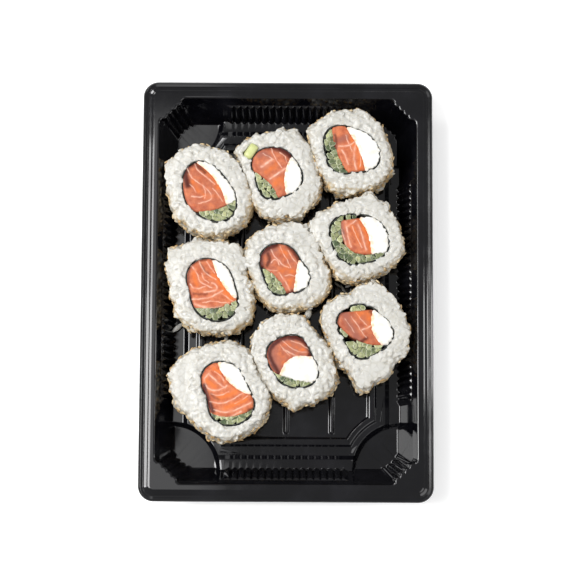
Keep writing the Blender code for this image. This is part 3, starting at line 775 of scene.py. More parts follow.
def kept_in_tray(co):
    """Moves points back from the tray's walls, their flutes and the floor's ribs."""
    out = WALL_LEAN * (co[:, 2] / MM - CHANNEL_Z)
    for axis, share in ((0, 1.0), (1, SIDE_SHARE)):
        flutes = np.where(co[:, 2] / MM < LEDGE[-1][0] + 0.5, WALLS_UNDER, WALL_CLEAR)
        limit = (FOOT[axis] + out * share - flutes) * MM
        co[:, axis] = np.clip(co[:, axis], -limit, limit)
    co[:, 2] = np.maximum(co[:, 2], RIBS_TOP * MM)
    return co


def melted(source, name, material, voxel, rounds, swell=0.0):
    """A closed, finer copy of an object with its edges rounded off, swollen into the gaps round it."""
    remesh = source.modifiers.new("remesh", "REMESH")
    remesh.mode = "VOXEL"
    remesh.voxel_size = voxel * MM
    smooth = source.modifiers.new("smooth", "SMOOTH")
    smooth.iterations = rounds
    swollen = source.modifiers.new("swollen", "DISPLACE")
    swollen.strength = swell * MM
    swollen.mid_level = 0.0
    graph = bpy.context.evaluated_depsgraph_get()
    mesh = bpy.data.meshes.new_from_object(source.evaluated_get(graph), depsgraph=graph)
    bpy.data.objects.remove(source)
    mesh.materials.clear()
    mesh.materials.append(material)
    mesh.shade_smooth()
    piece = bpy.data.objects.new(name, mesh)
    bpy.context.scene.collection.objects.link(piece)
    return piece


def stands_for(piece, slot, *nodes):
    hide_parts(*nodes)
    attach(piece, "root")


def knobbly(mesh, line, clumps):
    """Pushes the outside of a rice ring in and out at random, and at its own clumps and dents."""
    co = coordinates(mesh)
    distance, edge = core_reach(line, co)
    turns = np.degrees(np.arctan2(*(co[:, :2] - line[0]).T[::-1]))
    for i, point in enumerate(co):
        if distance[i] > edge[i] + CORE_RIM * MM:
            at = Vector(point) / MM / LUMP_SIZE
            push = LUMPS * (noise.noise(at) + 0.5 * noise.noise(at * FINER_LUMPS))
            for angle, width, reach in clumps:
                push += reach * math.exp(-((((turns[i] - angle + 180) % 360 - 180) / width) ** 2))
            share = min(1.0, (distance[i] - edge[i]) / MM / RING_WIDTH) ** 2
            co[i, :2] += (point[:2] - line[0]) / distance[i] * push * share * MM
    move_to(mesh, co)
    return distance > edge + CORE_RIM * MM


lines = {letter: core_line(letter) for letter in LETTERS}
tops = {letter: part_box(f"nori_{letter}")[1].z for letter in LETTERS}
rice_cores = {}
for index, letter in enumerate(LETTERS):
    line = lines[letter]
    source = welded(f"rice_{letter}")
    mesh = source.data
    grains, outside = [], []
    for face in mesh.polygons:
        outwards = (face.center.xy - Vector(line[0])).dot(face.normal.xy)
        in_hole = outwards < 0 and abs(face.normal.z) < 0.5
        grains.append(0.0 if face.normal.z < -0.4 or in_hole else 1.0)
        outside.append(1.0 if abs(face.normal.z) < 0.6 and outwards > 0 else 0.0)
    store(mesh, "grains", grains, "FACE")
    store(mesh, "outside", outside, "FACE")
    store(mesh, "sinks", knobbly(mesh, line, CLUMPS[letter]).astype(float))
    rice_cores[letter] = source
    loose = bpy.data.objects.new("loose", grown(source, grain_tree, Seed=index + 1))
    bpy.context.scene.collection.objects.link(loose)
    rice = melted(loose, f"rice_grains_{letter}", rice_white, RICE_VOXEL, MELT_ROUNDS)
    co = coordinates(rice.data)
    distance, edge = core_reach(line, co)
    waves = noises(co, TOP_WAVES[0])
    fine = noises(co, FINE_WAVES)
    outer = np.clip(((distance - edge) / MM - EDGE_FROM) / EDGE_RUN, 0, 1)
    top = tops[letter] + (TOP_LIFT + TOP_WAVES[1] * waves - EDGE_DROP * outer**2) * MM
    co[:, 2] = np.where(co[:, 2] > top, top + (co[:, 2] - top) * CUT_KEEP, co[:, 2])
    hides = NORI_HIDDEN * (0.6 + waves + 0.8 * fine) * MM
    push = np.maximum(1.0, (edge - hides) / np.maximum(distance, 1e-6))
    co[:, :2] = line[0] + (co[:, :2] - line[0]) * push[:, None]
    move_to(rice.data, kept_in_tray(co))
    rice.data.update()
    # The outer sides get a tan tint, deeper low down and on one side: partly a stain, partly painted shade.
    up = np.array([vertex.vector.z for vertex in rice.data.vertex_normals])
    side = np.clip((0.9 - up) / 0.6, 0, 1)
    side *= np.clip(((distance - edge) / MM - TINT_AND_SHADE_FROM) / TINT_AND_SHADE_FROM, 0, 1)
    side *= np.clip(0.35 + (tops[letter] - co[:, 2]) / MM / TINT_AND_SHADE_DEPTH, 0, 1)
    side *= np.clip(0.75 + ((co[:, :2] - line[0]) @ TINT_AND_SHADE_SIDE) / distance * 0.6, 0, 1)
    side *= TINT_AND_SHADE[letter]
    store(rice.data, "outside", side)
    stands_for(rice, "rice", f"rice_{letter}")


# Sesame: toasted tan seeds rolled onto the outside of the rice, thickest low on the sides.
# They stick to the moist rice and lie flat on it, partly sunk between the grains.

SEED_SIZE = (2.9, 1.8, 0.9)
SEED_SPACING = 2.6
SEEDS_BELOW = 3.4
SEED_TILT = 0.3
SEED_SINK = (0.15, 0.75)
FIRST_SEED = 31

seed_tan, shader, start = finish("toasted_sesame", Roughness=0.42)
tone = painted(start, "tone")
feed(shader, "Base Color", tone.rise(0.0, 1.0).blend((0.46, 0.29, 0.12, 1), (0.70, 0.57, 0.36, 1)))

given = open_tree("sesame_seeds", Spacing=SEED_SPACING * MM, Highest=1.0, Seed=1)
seed_tree = close_tree(
    scattered(given, bean(given["Geometry"], SEED_SIZE, 0.0), SEED_TILT, SEED_SINK, "outside"), seed_tan
)
bm = bmesh.new()
for index, letter in enumerate(LETTERS):
    highest = tops[letter] - SEEDS_BELOW * MM
    bm.from_mesh(grown(rice_cores[letter], seed_tree, Seed=index + FIRST_SEED, Highest=highest))
    bpy.data.objects.remove(rice_cores[letter])
mesh = bpy.data.meshes.new("sesame_seeds")
bm.to_mesh(mesh)
bm.free()
move_to(mesh, kept_in_tray(coordinates(mesh)))
mesh.materials.append(seed_tan)
seeds = bpy.data.objects.new("sesame_seeds", mesh)
bpy.context.scene.collection.objects.link(seeds)
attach(seeds, "root")


# Loose rice: single grains and shreds that fell off the rolls, on the tray's floor and between
# the rolls. They are moist and half clear, with dented sides and bent ends.

SHRED_DENTS = 0.16
NOISE_SEED = 7

# Noise vectors take their offsets from this seed, and from the clock without one.
noise.seed_set(NOISE_SEED)

# Each shred: its place, its length, width and height, and its turn in degrees.
SHREDS = (
    ((-56.8, -18.3, 6.9), (7.6, 2.3, 1.2), 43),
    ((-31.5, -24.6, 8.5), (5.6, 2.2, 1.4), 80),
    ((26.6, 4.6, 6.4), (4.6, 1.3, 0.9), -38),
    ((29.3, 2.5, 6.5), (5.2, 1.2, 0.9), -62),
    ((32.0, 4.2, 6.6), (3.6, 1.4, 1.0), 24),
    ((33.5, 1.6, 6.2), (2.6, 1.1, 0.8), -80),
    ((12.1, -9.4, 22.0), (3.2, 1.9, 1.2), 30),
    ((11.0, -12.4, 20.5), (5.4, 3.4, 2.4), 65),
)

clear_rice, shader, start = finish(
    "clear_rice",
    Roughness=0.3,
    Subsurface_Weight=0.6,
    Subsurface_Radius=(1.0, 0.9, 0.8),
    Subsurface_Scale=0.003,
)
feed(shader, "Base Color", grain(start, 300, 3.0).blend((0.30, 0.30, 0.28, 1), (0.48, 0.46, 0.42, 1)))
bm = bmesh.new()
for place, size, turn in SHREDS:
    made = bmesh.ops.create_icosphere(bm, subdivisions=3, radius=0.5)["verts"]
    for vertex in made:
        vertex.co += noise.noise_vector(vertex.co * 1.4 + Vector(place)) * SHRED_DENTS
        vertex.co = Vector(a * b for a, b in zip(vertex.co, size))
        vertex.co.z -= (vertex.co.x / size[0]) ** 2 * size[2]
        vertex.co.rotate(Euler((0.0, 0.0, math.radians(turn))))
        vertex.co += Vector(place)
loose = mesh_object("loose_rice", bm, clear_rice, 80)
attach(loose, "root")


# Seaweed: a thin dark sheet round each filling. It has taken up moisture and gone wavy, is held
# between the rice and the filling, and shows its cut edge as a dark line.

NORI_THICKNESS = 0.34
NORI_DROP = 0.05
NORI_WAVES = 0.7

seaweed, shader, start = finish("seaweed", Roughness=0.42)
feed(shader, "Base Color", grain(start, 500, 3.0).blend((0.006, 0.008, 0.006, 1), (0.016, 0.022, 0.014, 1)))
raise_bumps(shader, grain(start, 1200, 2.0), 0.0003, 0.5)
bm = bmesh.new()
for letter in LETTERS:
    middle, angles, reach = lines[letter]
    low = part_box(f"nori_{letter}")[0].z / MM
    rings = [[], [], [], []]
    for angle, edge in zip(angles, reach / MM):
        direction = Vector((math.cos(angle), math.sin(angle), 0.0))
        at = Vector((*middle, 0.0)) / MM + direction * edge
        high = tops[letter] / MM - NORI_DROP + NORI_WAVES * noise.noise(at / 2.2)
        thin = NORI_THICKNESS * (0.85 + NORI_WAVES * noise.noise(at / 1.3))
        for ring, inset, z in zip(rings, (0.0, 0.0, thin, thin), (low, high, high, low)):
            ring.append((*(at.xy - direction.xy * inset), z))
    loops = [add_ring(bm, ring) for ring in rings]
    for inner, outer in zip(loops, loops[1:] + loops[:1]):
        bridge(bm, inner, outer)
bmesh.ops.recalc_face_normals(bm, faces=bm.faces)
nori = mesh_object("seaweed_sheets", bm, seaweed, 40)
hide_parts(*[f"nori_{letter}" for letter in LETTERS])
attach(nori, "root")


# Salmon: a raw strip in each roll, cut across, so that its pale fat lines show on the cut. The
# marks are given lines, kept as attributes of the mesh that the material reads.

SALMON_VOXEL = 0.55
SALMON_SWELL = 0.62
EDGE_DARK = 1.7
DULLNESS = dict(zip("abcdefghi", (0.45, 0.4, 0.15, 0.1, 0.5, 0.3, 0.05, 0.75, 0.45)))
SEAWEED_EDGE_SHADE = 0.5
FULL_DARK_WIDTH = 2.0
MARK_FADE = 1.25
HALO_SPREAD = 2.2
WANDERS = ((1.7, 0.0, 0.3), (0.6, 3.0, 0.12))
MARK_WIDTHS = {"fat": 0.75, "dark": 1.15, "mauve": 1.2, "bright": 1.2}
TOP_CUTS = 2

# Marks on each cut: what they are, how wide in millimetres, and the points they run through.
STRANDS = {
    "a": (
        ("fat", 0.4, (-51.6, 61.5), (-50.3, 58.3), (-48.7, 56.0), (-45.6, 53.9), (-41.9, 51.3),
         (-39.3, 48.4), (-38.8, 45.8), (-40.8, 44.3), (-45.5, 43.2)),
        ("fat", 0.4, (-48.3, 65.2), (-47.0, 61.5), (-44.6, 59.1), (-41.0, 56.5), (-37.3, 53.2)),
        ("fat", 0.3, (-50.2, 53.1), (-48.1, 51.5), (-47.1, 48.9)),
        ("fat", 0.3, (-38.3, 51.1), (-35.2, 47.4), (-33.1, 44.3)),
        ("fat", 0.4, (-49.1, 46.8), (-45.0, 46.3), (-41.9, 47.4)),
        ("fat", 0.3, (-43.5, 52.6), (-41.9, 49.0), (-42.4, 45.8)),
        ("dark", 2.4, (-51.2, 52.6), (-52.6, 56.7), (-52.4, 61.5), (-50.3, 63.6), (-46.2, 65.7),
         (-43.1, 63.6)),
        ("dark", 1.5, (-47.2, 63.1), (-44.6, 61.5), (-42.5, 59.4)),
        ("bright", 1.7, (-43.1, 60.5), (-39.4, 58.4), (-36.3, 55.3), (-35.2, 51.1)),
        ("bright", 1.4, (-48.7, 54.7), (-45.5, 50.5), (-42.4, 46.9)),
    ),
    "b": (
        ("dark", 2.7, (-12.2, 73.8), (-6.6, 73.3), (-1.4, 71.2), (2.3, 68.1), (4.8, 64.9)),
        ("dark", 1.1, (-1.9, 67.5), (0.2, 65.4), (1.8, 62.8)),
        ("fat", 0.7, (-9.0, 56.5), (-5.9, 58.6), (-2.9, 60.7), (-0.3, 62.3)),
        ("fat", 1.0, (-13.2, 62.7), (-10.6, 64.8), (-8.1, 66.4)),
        ("fat", 0.3, (-8.6, 72.2), (-7.0, 68.5), (-5.0, 64.9), (-2.9, 62.3)),
        ("fat", 0.3, (-4.0, 70.1), (-1.4, 68.6), (-0.3, 64.9)),
        ("fat", 0.3, (-12.7, 69.6), (-9.6, 68.0), (-7.0, 66.4)),
        ("mauve", 2.0, (-14.8, 68.5), (-12.2, 70.1), (-10.1, 68.5)),
        ("bright", 1.5, (-11.1, 60.1), (-8.5, 61.7), (-6.0, 63.8)),
        ("bright", 2.2, (-6.4, 53.9), (-3.4, 56.0), (-1.3, 53.9)),
    ),
    "c": (
        ("dark", 1.5, (24.4, 79.2), (24.9, 76.1), (24.9, 72.4), (23.9, 69.2)),
        ("mauve", 2.0, (27.0, 76.6), (30.1, 78.2)),
        ("fat", 0.5, (26.5, 73.5), (30.1, 73.5), (33.2, 74.5), (34.8, 76.1)),
        ("fat", 0.4, (30.1, 79.3), (30.6, 76.6), (32.2, 74.0), (33.2, 70.9)),
        ("fat", 0.6, (35.3, 75.1), (34.2, 70.9), (34.3, 66.1), (35.3, 61.4)),
        ("fat", 0.5, (28.0, 71.4), (30.1, 68.2), (31.2, 64.0)),
        ("fat", 0.3, (36.8, 71.9), (37.9, 66.7), (37.3, 62.5)),
        ("bright", 1.7, (36.3, 73.5), (37.9, 68.3), (37.3, 62.5)),
        ("bright", 1.1, (32.7, 77.7), (33.7, 74.5)),
    ),
    "d": (
        ("fat", 0.4, (-49.2, 10.9), (-47.1, 8.9), (-45.5, 5.8), (-44.7, 2.7), (-41.9, 1.2),
         (-38.3, -0.4)),
        ("fat", 0.4, (-45.1, 13.5), (-43.5, 9.9), (-42.0, 7.6), (-39.4, 5.6), (-36.3, 3.8)),
        ("fat", 0.3, (-41.0, 13.1), (-39.4, 10.0), (-36.9, 7.4)),
        ("fat", 0.4, (-49.6, 1.6), (-48.0, -0.7), (-45.0, -0.9), (-41.9, 0.1)),
        ("fat", 0.5, (-38.3, 2.2), (-35.8, 0.7), (-35.7, -1.4), (-38.8, -2.4), (-42.4, -2.5)),
        ("fat", 0.5, (-48.5, -6.4), (-43.9, -6.3), (-39.3, -5.5), (-35.7, -3.5), (-32.7, -1.9)),
        ("fat", 0.3, (-33.2, -3.4), (-30.1, -5.5), (-27.5, -7.5)),
        ("fat", 0.3, (-42.8, -8.1), (-38.2, -7.1), (-33.1, -8.1), (-29.5, -8.1)),
        ("fat", 0.8, (-46.9, -8.7), (-42.3, -10.7), (-37.7, -11.2), (-33.6, -10.1)),
        ("fat", 0.3, (-43.5, 6.8), (-42.5, 3.7), (-39.9, 2.2)),
        ("dark", 1.5, (-48.5, -8.2), (-49.5, -3.5), (-50.6, 1.6), (-50.7, 6.8), (-49.7, 10.4),
         (-46.1, 13.5), (-41.5, 14.1)),
        ("dark", 1.2, (-47.5, -3.5), (-43.9, -4.0), (-40.8, -3.5)),
        ("dark", 1.2, (-44.1, 12.0), (-42.5, 8.9), (-40.4, 6.8)),
        ("bright", 1.7, (-37.4, 5.8), (-34.3, 2.7), (-32.2, -1.4), (-28.5, -5.5)),
        ("bright", 1.2, (-47.6, 6.8), (-47.1, 3.7), (-46.0, 1.1)),
    ),
    "e": (
        ("dark", 2.3, (-12.3, 9.1), (-13.9, 13.2), (-13.4, 17.9), (-10.3, 20.0), (-5.7, 22.1)),
        ("dark", 1.6, (0.4, 21.6), (3.5, 18.5), (6.1, 13.8)),
        ("dark", 1.6, (-0.4, -3.3), (2.6, -2.2), (5.7, -1.2)),
        ("dark", 1.6, (-9.8, 17.4), (-8.7, 14.3), (-10.3, 11.2)),
        ("mauve", 1.7, (-12.4, 17.9), (-8.8, 18.4), (-5.7, 19.5)),
        ("fat", 0.4, (-8.3, 19.5), (-6.7, 16.4), (-4.6, 14.3), (-2.1, 11.2), (1.0, 10.2)),
        ("fat", 0.3, (-8.2, 12.7), (-6.7, 14.8), (-4.6, 13.8), (-4.1, 11.7)),
        ("fat", 0.3, (-3.7, 21.0), (-1.6, 16.9), (0.5, 13.3), (2.0, 10.2)),
        ("fat", 0.3, (0.5, 19.0), (2.5, 15.4), (5.1, 12.3)),
        ("fat", 0.4, (-4.1, 7.6), (-2.0, 4.5), (0.0, 1.9), (1.6, -1.7)),
        ("fat", 0.3, (-1.0, 6.0), (1.5, 6.6), (5.1, 5.5)),
        ("fat", 0.3, (-11.8, 10.1), (-8.7, 8.6), (-5.1, 8.6)),
        ("bright", 2.2, (-2.0, 8.6), (2.0, 9.7), (4.1, 6.1), (2.1, 2.4)),
        ("bright", 1.3, (-2.6, 19.5), (-0.0, 15.9)),
    ),
    "f": (
        ("dark", 1.4, (25.0, 34.7), (27.1, 31.1), (28.6, 28.0)),
        ("fat", 0.6, (36.3, 32.7), (37.9, 29.1), (38.9, 24.9), (40.5, 19.7)),
        ("fat", 0.5, (29.7, 34.2), (30.7, 30.1), (31.2, 25.9), (32.8, 21.2)),
        ("fat", 0.5, (35.3, 34.8), (32.7, 32.7), (30.7, 31.6)),
        ("fat", 0.3, (33.3, 31.6), (34.8, 28.0), (36.3, 24.4), (38.4, 20.7)),
        ("fat", 0.4, (27.6, 30.6), (29.2, 25.9), (30.2, 21.2)),
        ("mauve", 1.7, (27.1, 34.2), (28.1, 30.0), (29.7, 24.9)),
        ("bright", 1.5, (37.9, 33.7), (40.5, 28.6), (42.0, 23.4), (43.0, 19.2)),
        ("bright", 1.3, (33.8, 31.1), (35.3, 27.5), (36.9, 23.9)),
    ),
    "g": (
        ("fat", 0.5, (-39.4, -44.5), (-41.9, -47.1), (-40.8, -51.2), (-37.3, -53.2), (-33.2, -52.6),
         (-30.2, -50.6)),
        ("fat", 0.6, (-39.4, -44.5), (-36.8, -47.1), (-34.2, -49.6), (-31.2, -51.6)),
        ("fat", 0.4, (-36.3, -43.5), (-33.3, -45.5), (-31.7, -48.0)),
        ("fat", 0.4, (-38.7, -58.8), (-33.6, -59.8), (-29.1, -58.7), (-25.0, -56.2), (-21.0, -53.6)),
        ("fat", 0.3, (-38.3, -54.7), (-35.2, -55.7), (-32.2, -55.2), (-29.1, -53.6)),
        ("fat", 0.5, (-36.6, -62.8), (-31.6, -64.3), (-26.5, -63.3), (-21.9, -61.2), (-17.9, -59.2)),
        ("fat", 0.3, (-19.5, -55.6), (-22.0, -57.7), (-26.0, -59.7)),
        ("fat", 0.7, (-35.1, -65.9), (-30.0, -67.4), (-26.0, -65.3), (-22.9, -63.8)),
        ("dark", 2.0, (-41.9, -50.6), (-40.8, -55.2), (-39.2, -59.8), (-37.1, -63.3)),
        ("dark", 1.2, (-43.5, -44.0), (-42.9, -48.6)),
        ("dark", 1.5, (-18.9, -62.7), (-15.8, -62.2)),
        ("dark", 1.2, (-38.3, -54.7), (-36.7, -56.7), (-34.2, -57.7)),
        ("bright", 1.4, (-40.9, -48.1), (-38.3, -49.6), (-36.3, -51.1)),
        ("bright", 1.2, (-36.9, -42.0), (-33.8, -44.0)),
        ("bright", 1.4, (-34.2, -56.7), (-29.6, -55.7), (-25.6, -53.6)),
        ("bright", 1.4, (-30.6, -61.8), (-25.5, -59.7), (-20.5, -57.7)),
        ("bright", 0.9, (-26.5, -66.8), (-22.9, -65.3)),
    ),
    "h": (
        ("mauve", 3.1, (-6.4, -29.5), (-7.9, -34.1), (-5.8, -39.2), (-2.8, -44.3), (-0.7, -48.9)),
        ("dark", 1.9, (-0.3, -25.4), (-5.4, -28.0), (-8.9, -32.1), (-8.4, -36.7), (-4.8, -42.8),
         (-1.7, -48.4)),
        ("dark", 2.0, (1.2, -25.4), (6.3, -25.9), (10.4, -28.9), (12.5, -33.0), (11.4, -36.1)),
        ("fat", 0.3, (-1.8, -27.4), (0.7, -30.0), (3.8, -32.0), (7.9, -33.5), (11.4, -33.0)),
        ("fat", 0.3, (2.2, -27.4), (5.8, -28.4), (9.4, -30.4), (11.4, -32.0)),
        ("fat", 0.4, (-1.3, -32.0), (2.8, -34.1), (7.4, -36.1), (9.9, -36.1)),
        ("fat", 0.2, (-3.4, -29.5), (-1.3, -32.0), (1.8, -35.1)),
        ("mauve", 1.3, (-1.3, -26.9), (3.3, -26.4)),
        ("bright", 1.2, (-0.3, -29.0), (3.8, -30.5), (8.4, -32.0)),
        ("bright", 1.2, (-3.3, -34.6), (-2.3, -38.2)),
    ),
    "i": (
        ("mauve", 3.1, (29.7, -12.9), (31.3, -18.5), (34.3, -23.1), (36.4, -26.2)),
        ("dark", 1.4, (25.7, -19.6), (26.2, -15.5), (28.2, -12.4), (32.3, -10.3), (36.4, -10.3)),
        ("dark", 1.6, (29.8, -25.2), (32.8, -26.7), (35.4, -27.2)),
        ("dark", 1.6, (37.4, -28.2), (40.5, -26.2)),
        ("dark", 1.4, (42.5, -12.3), (45.1, -14.3)),
        ("fat", 0.3, (32.8, -14.9), (35.9, -19.0), (38.4, -23.1), (40.5, -25.7)),
        ("fat", 0.6, (38.4, -21.6), (40.5, -21.0), (43.0, -19.5)),
        ("fat", 0.3, (29.7, -16.0), (32.3, -19.6), (34.3, -23.1)),
        ("fat", 0.3, (35.4, -12.9), (37.9, -16.4), (41.0, -19.5)),
        ("bright", 2.5, (38.9, -12.3), (41.5, -14.9), (43.0, -18.5)),
        ("bright", 1.2, (34.8, -11.8), (36.9, -14.4)),
    ),
}


def curved(points, rounds=2):
    """A line through given points with its corners cut round."""
    line = np.array(points, float)
    for _ in range(rounds):
        near = line[:-1] * 0.75 + line[1:] * 0.25
        far = line[:-1] * 0.25 + line[1:] * 0.75
        middle = np.stack((near, far), axis=1).reshape(-1, 2)
        line = np.concatenate((line[:1], middle, line[-1:]))
    return line


def mark_strength(line, width, points):
    """How strong a mark is at each point, fading over its width, and how strong its wide halo is."""
    nearest = np.full(len(points), np.inf)
    for start, end in zip(line, line[1:]):
        run = end - start
        share = np.clip((points - start) @ run / max(run @ run, 1e-9), 0, 1)
        nearest = np.minimum(nearest, np.hypot(*(points - start - share[:, None] * run).T))
    return np.exp(-((nearest / width * MARK_FADE) ** 2)), np.exp(-((nearest / width / HALO_SPREAD) ** 2))


def finer_top(mesh, cuts):
    """Cuts the faces of the level top into smaller ones, so that fine marks can be drawn on them."""
    bm = bmesh.new()
    bm.from_mesh(mesh)
    edges = dict.fromkeys(edge for face in bm.faces if face.normal.z > 0.7 for edge in face.edges)
    bmesh.ops.subdivide_edges(bm, edges=list(edges), cuts=cuts, use_grid_fill=True)
    bm.to_mesh(mesh)
    bm.free()
    mesh.shade_smooth()


salmon_flesh, shader, start = finish(
    "raw_salmon",
    Roughness=0.42,
    Specular_IOR_Level=0.16,
    Subsurface_Weight=0.15,
    Subsurface_Radius=(1.0, 0.35, 0.15),
    Subsurface_Scale=0.001,
)
paint = grain(start, 330, 4.0, 0.65).rise(0.25, 0.75).blend((0.36, 0.070, 0.027, 1), (0.62, 0.20, 0.088, 1))
# Where the dark marks run along the seaweed's edge they are painted shade.
for kind, share, colour in (
    ("halo", 0.55, (0.64, 0.27, 0.17, 1)),
    ("bright", 0.8, (0.68, 0.165, 0.032, 1)),
    ("mauve", 0.85, (0.30, 0.11, 0.08, 1)),
    ("dark", 0.95, (0.060, 0.009, 0.007, 1)),
    ("fat", 0.75, (0.82, 0.52, 0.40, 1)),
):
    mark = painted(start, kind)
    strength = mark.rise(0.2, 1.0) if kind == "dark" else mark
    paint = (strength * share).blend(paint, colour)
feed(shader, "Base Color", paint)
raise_bumps(shader, grain(start, 700, 3.0) + painted(start, "fat"), 0.0003, 0.4)
salmon_points = {}
for letter in LETTERS:
    strip = welded(f"salmon_{letter}")
    piece = melted(strip, f"salmon_strip_{letter}", salmon_flesh, SALMON_VOXEL, 3, SALMON_SWELL)
    finer_top(piece.data, TOP_CUTS)
    co = coordinates(piece.data)
    distance, edge = core_reach(lines[letter], co)
    flat = co[:, :2] / MM
    salmon_points[letter] = flat
    wander = np.zeros((len(flat), 2))
    for size, level, reach in WANDERS:
        wander += np.array([noise.noise_vector((x / size, y / size, level))[:2] for x, y in flat]) * reach
    faint = np.array([min(1.0, 0.75 + noise.noise((x / 2.4, y / 2.4, 7.0))) for x, y in flat])
    strengths = {kind: np.zeros(len(co)) for kind in ("fat", "halo", "mauve", "bright")}
    strengths["mauve"] += DULLNESS[letter] * faint
    # A dark band along the seaweed edge: painted shade.
    strengths["dark"] = SEAWEED_EDGE_SHADE * np.exp(-(((edge - distance) / MM / EDGE_DARK) ** 2))
    for kind, width, *points in STRANDS[letter]:
        marked, halo = mark_strength(curved(points), width * MARK_WIDTHS[kind], flat + wander)
        if kind == "dark":
            marked *= min(1.0, width / FULL_DARK_WIDTH)
        strengths[kind] = np.maximum(strengths[kind], marked)
        if kind == "fat":
            strengths["halo"] = np.maximum(strengths["halo"], halo)
    strengths["fat"] *= faint
    for kind, strength in strengths.items():
        store(piece.data, kind, strength)
    stands_for(piece, "salmon", f"salmon_{letter}")


# Cream cheese: a soft white strip beside the salmon, which has stained its edge. It fills what
# the salmon leaves free inside the seaweed, and its outline is ragged.

CHEESE_VOXEL = 0.4
CHEESE_SWELL = 0.66
CHEESE_RAGGED = 0.8
CHEESE_STAIN = 0.9

cheese_white, shader, start = finish(
    "cream_cheese",
    Roughness=0.4,
    Subsurface_Weight=0.3,
    Subsurface_Radius=(1.0, 0.9, 0.8),
    Subsurface_Scale=0.001,
)
curd = grain(start, 220, 4.0).rise(0.3, 0.6).blend((0.68, 0.65, 0.59, 1), (0.84, 0.83, 0.79, 1))
near = painted(start, "near_salmon")
stained = (near * grain(start, 500, 3.0).rise(0.25, 0.7)).blend(curd, (0.86, 0.46, 0.26, 1))
feed(shader, "Base Color", stained)
raise_bumps(shader, grain(start, 350, 3.0), 0.0005, 0.4)
for letter in LETTERS:
    strip = welded(f"cheese_{letter}")
    piece = melted(strip, f"cream_cheese_{letter}", cheese_white, CHEESE_VOXEL, 5, CHEESE_SWELL)
    tree = KDTree(len(salmon_points[letter]))
    for i, (x, y) in enumerate(salmon_points[letter]):
        tree.insert((x, y, 0.0), i)
    tree.balance()
    co = coordinates(piece.data)
    middle = co.mean(axis=0)
    near = np.empty(len(co))
    for i, point in enumerate(co):
        at = Vector(point) / MM
        near[i] = tree.find((at.x, at.y, 0.0))[2]
        push = CHEESE_RAGGED * noise.noise(Vector((at.x, at.y, 0.0)) / 1.6)
        co[i, :2] += (point[:2] - middle[:2]) / np.hypot(*(point[:2] - middle[:2])) * push * MM
    move_to(piece.data, co)
    piece.data.update()
    store(piece.data, "near_salmon", np.exp(-((near / CHEESE_STAIN) ** 2)))
    stands_for(piece, "cream_cheese", f"cheese_{letter}")


# Cucumber: thin sticks laid side by side in the roll, so that their cut ends show. Each end leans
# a little and has a pale band painted along its edge as a highlight, and the sticks run down through the
# roll.

STICK_LENGTH = 9.0
STICK_RADIUS = 2.3
STICK_GAP = 0.03
STICKS_LEFT_OUT = 0.06
STICK_SHIFT = 0.7
STICK_LIFT = 1.3
FEW_STICKS = 5
OUTLINE_POINTS = 14
NEIGHBOURS_WITHIN = 5.0
NORI_CLEAR = 0.5
ENDS_WITHIN = 2.2
SAME_LEVEL = 0.01
END_MIN_AREA = 0.8
END_LEAN = 0.16
TONE_SPREAD = 6.0
# Each ring of a cut end: its share of the outline, its drop, and its share of the painted highlight along
# the end's edge.
END_RINGS = ((1.0, -0.3, 0.7), (0.93, -0.06, 1.0), (0.8, 0.02, 0.4), (0.4, 0.0, 0.0))

cucumber, shader, start = finish(
    "cucumber_flesh",
    Roughness=0.3,
    Subsurface_Weight=0.2,
    Subsurface_Radius=(0.7, 1.0, 0.4),
    Subsurface_Scale=0.0012,
)
tone = painted(start, "tone")
rim = painted(start, "rim")
flesh = tone.rise(0.0, 1.0).blend((0.055, 0.08, 0.035, 1), (0.42, 0.43, 0.22, 1))
dark = (grain(start, 850, 3.0).rise(0.46, 0.64) * 0.6).blend(flesh, (0.05, 0.08, 0.03, 1))
seedy = (grain(start, 600, 3.0).rise(0.5, 0.8) * 0.55).blend(dark, (0.50, 0.52, 0.32, 1))
# A pale band round each end's edge: a painted highlight.
rim_highlight = rim.rise(0.3, 1.0) * grain(start, 400).rise(0.3, 0.55) * 0.8
feed(shader, "Base Color", rim_highlight.blend(seedy, (0.64, 0.67, 0.48, 1)))


def end_middles(node):
    """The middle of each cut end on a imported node, in millimetres."""
    made = welded(node)
    bm = bmesh.new()
    bm.from_mesh(made.data)
    bpy.data.objects.remove(made)
    left = dict.fromkeys(face for face in bm.faces if face.normal.z > 0.9)
    ends = []
    while left:
        seed = next(iter(left))
        level = seed.calc_center_median().z
        left.pop(seed)
        group, queue = [seed], [seed]
        while queue:
            for edge in queue.pop().edges:
                for other in edge.link_faces:
                    if other in left and abs(other.calc_center_median().z - level) < SAME_LEVEL * MM:
                        left.pop(other)
                        group.append(other)
                        queue.append(other)
        area = sum(face.calc_area() for face in group)
        if area > END_MIN_AREA * MM**2:
            weighted = (face.calc_center_median() * face.calc_area() for face in group)
            ends.append(sum(weighted, Vector()) / area / MM)
    bm.free()
    return ends


def clipped(outline, point, normal):
    """The part of a convex outline behind a line."""
    made = []
    for a, b in zip(outline, outline[1:] + outline[:1]):
        over_a, over_b = (a - point).dot(normal), (b - point).dot(normal)
        if over_a <= 0:
            made.append(a)
        if over_a * over_b < 0:
            made.append(a.lerp(b, over_a / (over_a - over_b)))
    return made


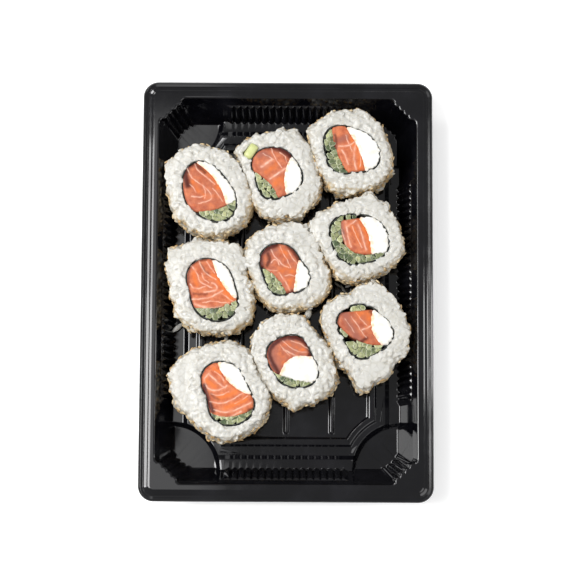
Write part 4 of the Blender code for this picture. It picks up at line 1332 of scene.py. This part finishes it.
def stick_outline(seed, others, line):
    """An uneven outline round a point, clear of the other sticks and inside the seaweed."""
    random = noise.noise_vector(seed.to_3d() / 0.77) * 1.6
    outline = []
    for i in range(OUTLINE_POINTS):
        angle = math.tau * i / OUTLINE_POINTS
        reach = STICK_RADIUS * (1.0 + 0.35 * random.x + 0.4 * math.cos(2 * (angle - 3 * random.y)))
        outline.append(seed + Vector((math.cos(angle), math.sin(angle))) * reach)
    for other in others:
        apart = other - seed
        if 0 < apart.length < NEIGHBOURS_WITHIN:
            normal = apart.normalized()
            outline = clipped(outline, seed + apart / 2 - normal * STICK_GAP, normal)
    distance, edge = core_reach(line, np.array(outline) * MM)
    middle = Vector(line[0]) / MM
    shares = np.minimum(1.0, (edge - NORI_CLEAR * MM) / distance)
    return [middle + (corner - middle) * float(share) for corner, share in zip(outline, shares)]


def add_stick(bm, outline, high, tones):
    """One stick under its cut end: rings of corners down from the middle of the end."""
    middle = sum(outline, Vector((0.0, 0.0))) / len(outline)
    lean = noise.noise_vector(middle.to_3d() / 1.3) * END_LEAN
    rings = []
    for share, drop, rim in (*reversed(END_RINGS), (1.0, -STICK_LENGTH, 0.0)):
        ring = []
        for corner in outline:
            at = middle + (corner - middle) * share
            vertex = bm.verts.new((at.x, at.y, high + drop + lean.xy.dot(corner - middle) * share))
            vertex[tones["tone"]] = 0.5 + TONE_SPREAD * lean.z
            vertex[tones["rim"]] = rim
            ring.append(vertex)
        rings.append(ring)
    bm.faces.new(rings[0])
    for inner, outer in zip(rings, rings[1:]):
        bridge(bm, inner, outer)


for letter in LETTERS:
    nodes = [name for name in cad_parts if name.startswith("cucumber_") and name.endswith(letter)]
    lowest = tops[letter] / MM - ENDS_WITHIN
    ends = [end for node in sorted(nodes) for end in end_middles(node) if end.z > lowest]
    kept = []
    for end in ends:
        random = noise.noise_vector(end / 0.61)
        if random.z > STICKS_LEFT_OUT - 0.4 or len(ends) < FEW_STICKS:
            kept.append((end.xy + random.xy * STICK_SHIFT, tops[letter] / MM + STICK_LIFT * random.x))
    bm = bmesh.new()
    layers = {name: bm.verts.layers.float.new(name) for name in ("tone", "rim")}
    for seed, high in kept:
        outline = stick_outline(seed, [other for other, _ in kept], lines[letter])
        if len(outline) > 2:
            add_stick(bm, outline, high, layers)
    bmesh.ops.recalc_face_normals(bm, faces=bm.faces)
    stands_for(mesh_object(f"cucumber_sticks_{letter}", bm, cucumber, 50), "cucumber", *nodes)


# Green piece: a scrap of the green filling pressed into the rice of one roll. It is soft and
# moist, and rounded off at its corners.

SCRAP_VOXEL = 0.4
SCRAP_ROUNDS = 16
SCRAP_SWELL = 0.9

scrap, shader, start = finish("green_scrap", Roughness=0.35)
feed(shader, "Base Color", grain(start, 350, 3.0).blend((0.40, 0.44, 0.14, 1), (0.60, 0.62, 0.32, 1)))
piece = melted(welded("green_piece_b"), "green_scrap", scrap, SCRAP_VOXEL, SCRAP_ROUNDS, SCRAP_SWELL)
stands_for(piece, "green_filling", "green_piece_b")
